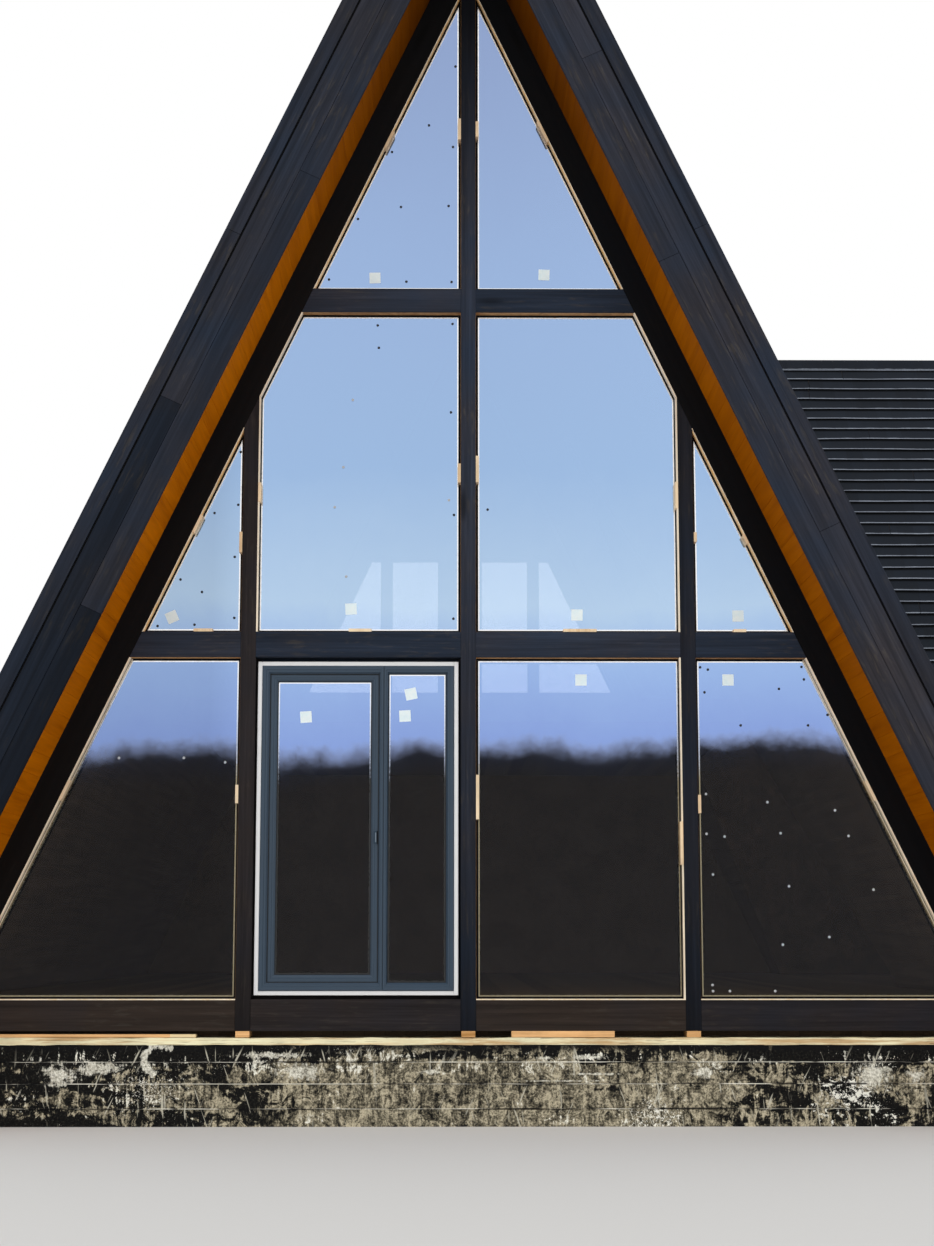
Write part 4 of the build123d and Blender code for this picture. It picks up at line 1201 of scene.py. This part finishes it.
def grownCourses(tree, length, height, lip, seed, finish):
    grower = linked("courses base", bpy.data.meshes.new("courses base"))
    modifier = grower.modifiers.new("courses", "NODES")
    modifier.node_group = tree
    rows, columns = math.ceil(height / courses["exposure"]), math.ceil(length / courses["boardLength"]) + 2
    values = {**courses, "rows": rows, "columns": columns, "lip": lip, "seed": seed, "finish": finish}
    for item in tree.interface.items_tree:
        if item.in_out == "INPUT":
            modifier[item.identifier] = values[item.name]
    graph = bpy.context.evaluated_depsgraph_get()
    mesh = bpy.data.meshes.new_from_object(grower.evaluated_get(graph))
    grower.modifiers.remove(modifier)
    bpy.data.objects.remove(grower)
    bm = bmesh.new()
    bm.from_mesh(mesh)
    bpy.data.meshes.remove(mesh)
    return bm


def cutAway(bm, point, outward):  # removes what lies beyond a plane and closes the cut
    parts = bm.verts[:] + bm.edges[:] + bm.faces[:]
    settings = {"dist": tolerance["cut"], "plane_co": point, "plane_no": outward, "clear_outer": True}
    cut = bmesh.ops.bisect_plane(bm, geom=parts, **settings)
    edges = [part for part in cut["geom_cut"] if isinstance(part, bmesh.types.BMEdge)]
    if edges:
        bmesh.ops.edgeloop_fill(bm, edges=edges)


def layCourses(bm, corner, along, upSlope):  # from the sheet to the slope: its origin and its two directions
    along, upSlope = Vector(along), Vector(upSlope)
    turn = Matrix((along, upSlope, along.cross(upSlope))).transposed().to_4x4()
    bm.transform(Matrix.Translation(corner) @ turn)


def makeRoofCourses():
    tree = courseTree()
    mainFinish, wingFinish = roofFinish("main roof courses", "Y"), roofFinish("wing roof courses", "X", 1.15)
    eaves, trim = roof["eaves"], courses["trim"]
    beyondCap, underCap = courses["spare"] - roof["capReach"], roof["capReach"] - roof["capLap"]
    eavesCut = ((0, 0, eaves), (0, 0, -1))

    def mainSlope(name, side, seed, *cuts):
        height = (coverApex - eaves) / slopeSin + beyondCap
        bm = grownCourses(tree, slabBack - slabFront, height, courses["mainLip"], seed, mainFinish)
        corner = (side * halfSpan(coverApex, eaves), slabFront if side > 0 else slabBack, eaves)
        layCourses(bm, corner, (0, side, 0), (-side * slopeCos, 0, slopeSin))
        ends = ((0, slabFront + trim, 0), (0, -1, 0)), ((0, slabBack - trim, 0), (0, 1, 0))
        ridge = ((0, 0, coverApex - underCap * slopeSin), (0, 0, 1))
        for point, outward in (*ends, ridge, eavesCut, *cuts):
            cutAway(bm, point, outward)
        finishPiece(bm, "roof-courses-" + name, mainFinish)

    mainSlope("left", -1, 3)
    for name, direction in (("front", 1), ("rear", -1)):
        meeting = ((0, wingRidgeY, wingCoverApex), (0, direction * wingSin, -wingCos))
        mainSlope("right-" + name, 1, 5, ((0, wingRidgeY, 0), (0, direction, 0)), meeting)

    for name, direction, seed in (("front", -1, 11), ("rear", 1, 12)):
        height = (wingCoverApex - eaves) / wingSin + beyondCap
        bm = grownCourses(tree, wingSlabEnd, height, courses["wingLip"], seed, wingFinish)
        start = 0 if direction < 0 else wingSlabEnd
        corner = (start, wingRidgeY + direction * wingHalfSpan(wingCoverApex, eaves), eaves)
        layCourses(bm, corner, (-direction, 0, 0), (0, -direction * wingCos, wingSin))
        cutAway(bm, (wingSlabEnd - trim, 0, 0), (1, 0, 0))
        cutAway(bm, (0, 0, wingCoverApex - underCap * wingSin), (0, 0, 1))
        cutAway(bm, *eavesCut)
        cutAway(bm, (0, 0, coverApex), (-slopeSin, 0, -slopeCos))
        finishPiece(bm, "wing-courses-" + name, wingFinish)
    return mainFinish, wingFinish


mainFinish, wingFinish = makeRoofCourses()
print("roof courses laid")


# Ridge caps and the slabs under the courses, whose inner faces line the rooms

# the lining boards are far darker than raw wood: painted shade that keeps the rooms dim
lining = {"pale": (0.13, 0.085, 0.05), "dark": (0.06, 0.039, 0.023), "endColour": (0.006, 0.006, 0.007),
    "slabs": ("roof_left", "roof_right_upper", "roof_right_front", "roof_right_rear", "wing_roof_front",
        "wing_roof_rear")}


def makeRoofBody():
    for node, material in (("ridge_cap", mainFinish), ("wing_ridge_cap", wingFinish)):
        bm = copyOf(node)
        easeEdges(bm, courses["capEase"])
        # the drop layer gives each cap's lower edge the courses' painted highlight and painted shade
        drop = bm.verts.layers.float.new("drop")
        low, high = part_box(node)
        for vert in bm.verts:
            vert[drop] = 1 - 0.5 * (vert.co.z - low.z) / (high.z - low.z)
        finishPiece(bm, pieceName(node, "-eased"), material, [node])
    boards = bareWood("lining boards", depthGrain, lining["pale"], lining["dark"])
    depth = split(objectSpot(boards))[1]
    atFront = maths("LESS_THAN", depth, slabFront + 0.001)
    atBack = maths("GREATER_THAN", depth, slabBack - 0.001)
    paintOver(boards, maths("MAXIMUM", atFront, atBack), lining["endColour"])
    dressNodes(lining["slabs"], boards)
    wingBoard = stainedWood("stained wing board", depthGrain, 1.3, 0.3)
    easedCopy("wing_fascia", "wing-rake-boards", wingBoard, rake["ease"])
    return boards


liningBoards = makeRoofBody()
print("ridge caps and linings")


# Foundation: strips cast against planks, with fins at the plank joints, under a worn bitumen coat

cast = {"rows": (0.0, 0.112, 0.268, 0.405, 0.51), "fin": 0.004, "step": 0.35, "seed": 21,
    "cuts": (-2, -0.5, 0.5, 2), "setBacks": (0.00675, 0.00315, 0.009, 0.00495),
    "finDepths": (0.0, 0.001, 0.004, 0.006)}
coatPatches = (  # the middle, as a photograph pixel, half the width and height, and whether it is a hook
    ((872, 1074), (0.17, 0.13), False), ((160, 1060), (0.13, 0.115), True),
    ((100, 1068), (0.26, 0.06), False), ((60, 1076), (0.16, 0.10), False),
    ((432, 1072), (0.13, 0.020), False), ((596, 1074), (0.20, 0.010), False),
    ((560, 1081), (0.40, 0.007), False), ((590, 1057), (0.17, 0.022), False),
    ((703, 1072), (0.10, 0.05), False), ((275, 1055), (0.34, 0.028), False),
    ((545, 1058), (0.07, 0.016), False), ((300, 1072), (0.22, 0.07), False),
    ((916, 1075), (0.08, 0.06), False),
)
brushed = {
    "layers": {"streaks": ((52, 52, 4.5), 4, 0.7), "strokes": ((13, 13, 11), 6, 0.74, 1.2),
        "blots": ((2.6, 2.6, 6.5), 7, 0.66, 0.4), "regions": ((2.9, 2.9, 6.0), 6, 0.66, 0.8),
        "dabs": ((24, 24, 30), 5, 0.7), "fine": ((75, 75, 75), 4, 0.7),
        "clusters": ((1.3, 1.3, 2.5), 2, 0.5), "along": ((2.3, 2.3, 40), 4, 0.65)},
    "middle": 0.35, "middleReach": (0.7, 2.4, 0.11, -0.01), "topRowReach": (-0.03, 0.04, 0, 0.105),
    "rubbedReach": (0.525, 0.560, 0, 0.97), "upperRowReach": (0.02, 0.10, 0.024, -0.015),
    "wornReach": (0.592, 0.604, 0, 0.97), "rightReach": (0.8, 2.4, 0, 0.06),
    "speckReach": (0.840, 0.855, 0, 0.95), "grainReach": (0.795, 0.810, 0, 0.9),
    "scratches": ((0.35, 3.1), (-0.45, 7.7), (0.05, 5.3)), "scratchReach": (0.700, 0.720, 0, 0.80),
    "lineReach": (0.0008, 0.0038, 1, 0), "underReach": (0.003, 0.010, 1, 0),
    "patchReach": (2.85, 3.10, 0.9, 0), "hookReach": (0.25, 0.5, 0, 3), "hookRadius": 0.8,
    "pale": (0.60, 0.53, 0.375), "grey": (0.150, 0.132, 0.092), "dark": (0.016, 0.015, 0.013),
    "relief": (0.6, 0.006), "roughReach": (0.5, 0.7, 0.62, 0.92),
    "chalkShade": (0.24, 0.225, 0.18), "chalkBody": (0.66, 0.63, 0.52),
    "chalk": (1.0, 0.98, 0.87), "line": (0.95, 0.92, 0.80), "speck": (0.96, 0.94, 0.84),
    "scratch": (0.62, 0.59, 0.48), "under": (0.006, 0.006, 0.007), "top": (0.008, 0.008, 0.009),
    "coat": ((0.30, (0.003, 0.003, 0.0035)), (0.55, (0.010, 0.0097, 0.009)), (0.8, (0.07, 0.065, 0.052))),
}


def concrete():
    material, spot = newMaterial("cast concrete with bitumen", 0.85, 0.05)
    x, y, z = split(spot)
    layers = [noise(spot, *layer) for layer in brushed["layers"].values()]
    streaks, strokes, blots, regions, dabs, fine, clusters, along = layers
    rows = cast["rows"]
    joints = [abs(z - height) for height in rows[1:4]]
    nearJoint = maths("MINIMUM", joints[0], maths("MINIMUM", joints[1], joints[2]))
    middle = mapped(abs(x - brushed["middle"]), *brushed["middleReach"], "SMOOTHSTEP")
    topRow = mapped(z - rows[3], *brushed["topRowReach"])

    rubbed = regions * 0.55 + (strokes * 0.35 + streaks * 0.14) + (middle - topRow)
    grit = streaks * 0.18 + (strokes * 0.50 + fine * 0.32)
    washed = ramp(grit, (0.43, brushed["dark"]), (0.49, brushed["grey"]), (0.57, brushed["pale"]))
    colour = mixed(mapped(rubbed, *brushed["rubbedReach"]), ramp(fine, *brushed["coat"]), washed)

    upperRow = mapped(joints[2], *brushed["upperRowReach"], "SMOOTHSTEP")
    worn = blots * 0.42 + (strokes * 0.36 + streaks * 0.26) + upperRow
    stops = (0.40, brushed["chalkShade"]), (0.48, brushed["chalkBody"]), (0.58, brushed["chalk"])
    chalk = ramp(fine * 0.6 + strokes * 0.4, *stops)
    colour = mixed(mapped(worn, *brushed["wornReach"]), colour, chalk)

    rightward = mapped(x, *brushed["rightReach"])
    specks = mapped(dabs * 0.8 + clusters * 0.5 + rightward, *brushed["speckReach"])
    grains = mapped(fine * 0.75 + clusters * 0.5, *brushed["grainReach"])
    colour = mixed(maths("MAXIMUM", specks, grains), colour, brushed["speck"])

    for lean, shift in brushed["scratches"]:
        lines = joined((z * lean + (x + y)) * 46, shift, z * 3.4)
        scratch = mapped(noise(lines, 1.0, 2, 0.4), *brushed["scratchReach"])
        colour = mixed(scratch * mapped(clusters, 0.38, 0.55, 0, 1), colour, brushed["scratch"])

    line = mapped(nearJoint, *brushed["lineReach"]) * mapped(along, 0.47, 0.56, 0, 0.9)
    colour = mixed(line, colour, brushed["line"])
    under = mapped(nearJoint, *brushed["underReach"]) * mapped(along, 0.42, 0.50, 0.9, 0)
    colour = mixed(under, colour, brushed["under"])
    # painted shadow: a dark band along the top of the strips under the sill board
    colour = mixed(mapped(z + streaks * 0.05, 0.490, 0.520, 0, 0.85), colour, brushed["top"])

    onFront = maths("LESS_THAN", y, facade + 0.03)
    ragged = dabs * 1.9 + (strokes * 1.7 + streaks * 1.3)
    for pixel, (wide, high), hook in coatPatches:
        patchX, patchZ = photoPoint(*pixel, facade)
        across, upward = (x - patchX) / wide, (z - patchZ) / high
        radius = vectorMaths("LENGTH", joined(across, upward), out="Value")
        if hook:
            opening = mapped(across - upward * 0.6, *brushed["hookReach"])
            radius = abs(radius - brushed["hookRadius"]) * 3.4 + opening
        colour = mixed(mapped(radius + ragged, *brushed["patchReach"]) * onFront, colour, chalk)
    relief = bump(fine * 0.35 + worn * 1.2, *brushed["relief"])
    return dress(material, colour, mapped(worn, *brushed["roughReach"]), relief)


def castStrips(node, name, material):
    bm = copyOf(node)
    low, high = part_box(node)
    fin, step, joints = cast["fin"], cast["step"], cast["rows"][1:4]
    slicesAcross(bm, 2, [z + fin * share for z in joints for share in cast["cuts"]])
    for axis in (0, 1):
        place = low[axis] + step
        while place < high[axis] - step / 2:
            slicesAcross(bm, axis, [place])
            place += step
    random.seed(cast["seed"])
    bm.normal_update()
    moves = {}
    for vert in bm.verts:
        z = vert.co.z
        if z < 0.001 or z > cast["rows"][-1] - 0.001:
            continue
        depth = cast["setBacks"][sum(z > joint for joint in joints)] * random.uniform(0.55, 1.0)
        if any(abs(z - joint) < fin for joint in joints):
            depth = random.choice(cast["finDepths"])
        sides = {}
        for face in vert.link_faces:
            if abs(face.normal.z) < 0.5:
                sides[(round(face.normal.x), round(face.normal.y))] = face.normal.copy()
        moves[vert] = sum((normal * -depth for normal in sides.values()), Vector())
    for vert, move in moves.items():
        vert.co += move
    finishPiece(bm, name, material, [node])


coated = concrete()
castStrips("foundation", "foundation-cast", coated)
castStrips("wing_foundation", "wing-foundation-cast", coated)
print("foundation cast")


# Sill boards on the strips, rough-sawn and butt-jointed, and the packing on them

sill = {"step": 0.11, "wander": 0.007, "ease": 0.002, "seed": 8, "stain": (0.55, 0.31, 0.12),
    "pale": (1.0, 0.95, 0.64), "dark": (0.82, 0.58, 0.30), "split": (0.20, 0.12, 0.05)}
packing = {"pale": (0.97, 0.56, 0.25), "dark": (0.46, 0.22, 0.06), "lath": (0.95, 0.74, 0.42),
    "lathEnds": ((170, 1034), (196, 1034))}  # photograph pixels at the ends of the pale part of the left lath


def makeSillBoards():
    material = bareWood("weathered sill board", beamGrain, sill["pale"], sill["dark"])
    spot = objectSpot(material)
    weathering, splits = grain(spot, beamGrain, 30, 1.5, 5, 0.65), grain(spot, beamGrain, 130, 3.5, 3, 0.6)
    paintOver(material, mapped(weathering, 0.50, 0.62, 0, 0.75), sill["stain"])
    paintOver(material, mapped(splits, 0.60, 0.66, 0, 0.6), sill["split"])
    for node in ("sill_boards", "wing_sill_boards"):
        bm = copyOf(node, 3)
        low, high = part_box(node)
        for axis in (0, 1):
            steps = range(1, int((high[axis] - low[axis]) / sill["step"]))
            slicesAcross(bm, axis, [low[axis] + step * sill["step"] for step in steps])
        wander = random.Random(sill["seed"])
        easeEdges(bm, sill["ease"])
        bm.normal_update()
        for vert in bm.verts:
            vert.co -= vert.normal * sill["wander"] * wander.random()
        finishPiece(bm, pieceName(node, "-sawn"), material, [node])

    material = bareWood("packing wood", beamGrain, packing["pale"], packing["dark"])
    start, end = (photoPoint(*pixel, facade)[0] for pixel in packing["lathEnds"])
    inside = maths("COMPARE", split(objectSpot(material))[0], (start + end) / 2, (end - start) / 2)
    paintOver(material, inside, packing["lath"])
    easedCopy("packing_blocks", "packing-sawn", material, sill["ease"], 6)


makeSillBoards()
print("sill boards laid")


# Walls at the back and on the wing: a lined core with upright boards outside

cladding = {"width": 0.145, "gap": 0.003, "thickness": 0.020, "ease": 0.002, "coreGap": 0.0005,
    "level": 1.25, "warmth": 0.32}


def band(low, high, inner, outer):  # between two heights and the two lines that give a place for each height
    return [(inner(low), low), (outer(low), low), (outer(high), high), (inner(high), high)]


def cladWall(name, outlines, place, inside, outside, way, tones):
    core, boards = newPiece(), newPiece()
    seam = outside - cladding["thickness"]
    for outline in outlines:
        addPrism(core, outline, inside, seam - cladding["coreGap"], place=place)
        for board in columns(outline, cladding["width"], cladding["gap"]):
            addPrism(boards, board, seam, outside, tones.random(), place)
    easeEdges(boards, cladding["ease"])
    stained = stainedWood("stained " + name + " cladding", way, cladding["level"], cladding["warmth"])
    nodes = [name + ending for ending in ("_wall_lower", "_wall_upper", "_wall_piers")]
    finishPiece(core, name + "-wall-core", liningBoards, nodes)
    finishPiece(boards, name + "-wall-cladding", stained, nodes)


def wallOutlines(middle, apex, pierHalf, sillZ, headZ, reach):
    def left(z):
        return middle - reach(apex, z)

    def right(z):
        return middle + reach(apex, z)

    gableTop = [(left(headZ), headZ), (right(headZ), headZ), (middle, apex)]
    pier = box(middle - pierHalf, middle + pierHalf, sillZ, headZ)
    return left, right, [band(boardTop, sillZ, left, right), gableTop, pier]


def makeWalls():
    tones = random.Random(14)
    sillZ, headZ = ends("rear_wall_piers", "z")
    _, right, outlines = wallOutlines(0, deckApex, loft["pierHalf"], sillZ, headZ, halfSpan)
    start = loft["pierHalf"] + loft["paneWidth"]
    post = box(start, start + loft["postWidth"], sillZ, headZ)
    edge = band(sillZ, headZ, lambda z: halfSpan(loftEdgeApex, z), right)
    outlines += [post, mirrored(post), edge, mirrored(edge)]
    cladWall("rear", outlines, gablePlace, rearInside, rearFace, postGrain, tones)

    sillZ, headZ = ends("wing_wall_piers", "z")
    low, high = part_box("wing_window_frames")
    pierHalf = wing["pierHalf"]
    left, right, outlines = wallOutlines(wingRidgeY, wingDeckApex, pierHalf, sillZ, headZ, wingHalfSpan)
    outlines += [band(sillZ, headZ, lambda z: high.y, right), band(sillZ, headZ, left, lambda z: low.y)]
    cladWall("wing", outlines, sidePlace, *ends("wing_wall_lower", "x"), sideGrain, tones)


makeWalls()
print("walls clad")


# Loft and wing windows

window = {"face": 0.035, "groove": 0.015, "gap": 0.0003, "gasket": 0.004, "cover": 0.12}


def makeWindowRow(name, nodes, axis, outlines, place, glass):  # depth runs from the room towards the open air
    frames, gaskets, panes = newPiece(), newPiece(), newPiece()
    inside, outside = ends(nodes[0], axis)
    paneInside, paneOutside = ends(nodes[1], axis)
    share, gap = 1 - window["groove"] / window["face"], window["gap"]
    profile = ((0, inside), (0.55, inside), (0.62, inside + 0.004), (1, inside + 0.010), (1, paneInside),
        (share, paneInside), (share, paneOutside), (1, paneOutside), (1, outside - 0.010),
        (0.70, outside - 0.006), (0.62, outside), (0, outside))
    seal = ((0, paneOutside), (1, paneOutside), (1, paneOutside + 0.002), (0, paneOutside + 0.003))
    for outline in outlines:
        view = inset(outline, window["face"])
        addRing(frames, outline, view, profile, place=place)
        addRing(gaskets, view, inset(view, window["gasket"]), seal, place=place)
        pane = inset(outline, window["face"] - window["groove"] + gap)
        addPrism(panes, pane, paneInside + gap, paneOutside - gap, place=place)
    finishPiece(frames, name + "-windows-moulded", plastic, [nodes[0]])
    finishPiece(gaskets, name + "-windows-gaskets", gasketRubber)
    finishPiece(panes, name + "-panes", glass, [nodes[1]])


def makeWindows():
    glass = makeGlazing("window glazing", window["cover"])
    low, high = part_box("rear_window_frames")
    start = loft["pierHalf"] + loft["paneWidth"]
    upright = box(loft["pierHalf"], start, low.z, high.z)
    outer = start + loft["postWidth"]
    slanted = band(low.z, high.z, lambda z: outer, lambda z: halfSpan(loftEdgeApex, z))
    outlines = (upright, mirrored(upright), slanted, mirrored(slanted))
    makeWindowRow("rear", ("rear_window_frames", "rear_glass"), "y", outlines, gablePlace, glass)

    low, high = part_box("wing_window_frames")
    spans = ((wingRidgeY + wing["pierHalf"], high.y), (low.y, wingRidgeY - wing["pierHalf"]))
    outlines = [box(start, end, low.z, high.z) for start, end in spans]
    makeWindowRow("wing", ("wing_window_frames", "wing_glass"), "x", outlines, sidePlace, glass)


makeWindows()
print("windows fitted")


# Floors keep their CAD slabs, with boards drawn in the finish

# the floor boards are far darker than raw wood: painted shade that keeps the rooms dim
floors = {"boardWidth": 0.135, "pale": (0.15, 0.10, 0.06), "dark": (0.075, 0.050, 0.028),
    "nodes": ("floor_deck", "wing_floor", "loft_floor")}


def makeFloors():
    material, spot = newMaterial("floor boards", 0.7, 0.25)
    station = split(spot)[0] / floors["boardWidth"]
    seam = seamLight(station, 0.497, 0.35)
    fibres = grain(spot, floorGrain, 80, 2.0, 4, 0.6)
    share = whiteNoise(maths("FLOOR", station)) * 0.4 + fibres * 0.6
    colour = dimmed(ramp(share, (0.25, floors["dark"]), (0.8, floors["pale"])), seam)
    dress(material, colour, mapped(fibres, 0.2, 0.8, 0.6, 0.8), bump(fibres + seam, 0.3, 0.002))
    dressNodes(floors["nodes"], material)


makeFloors()
print("floors finished")
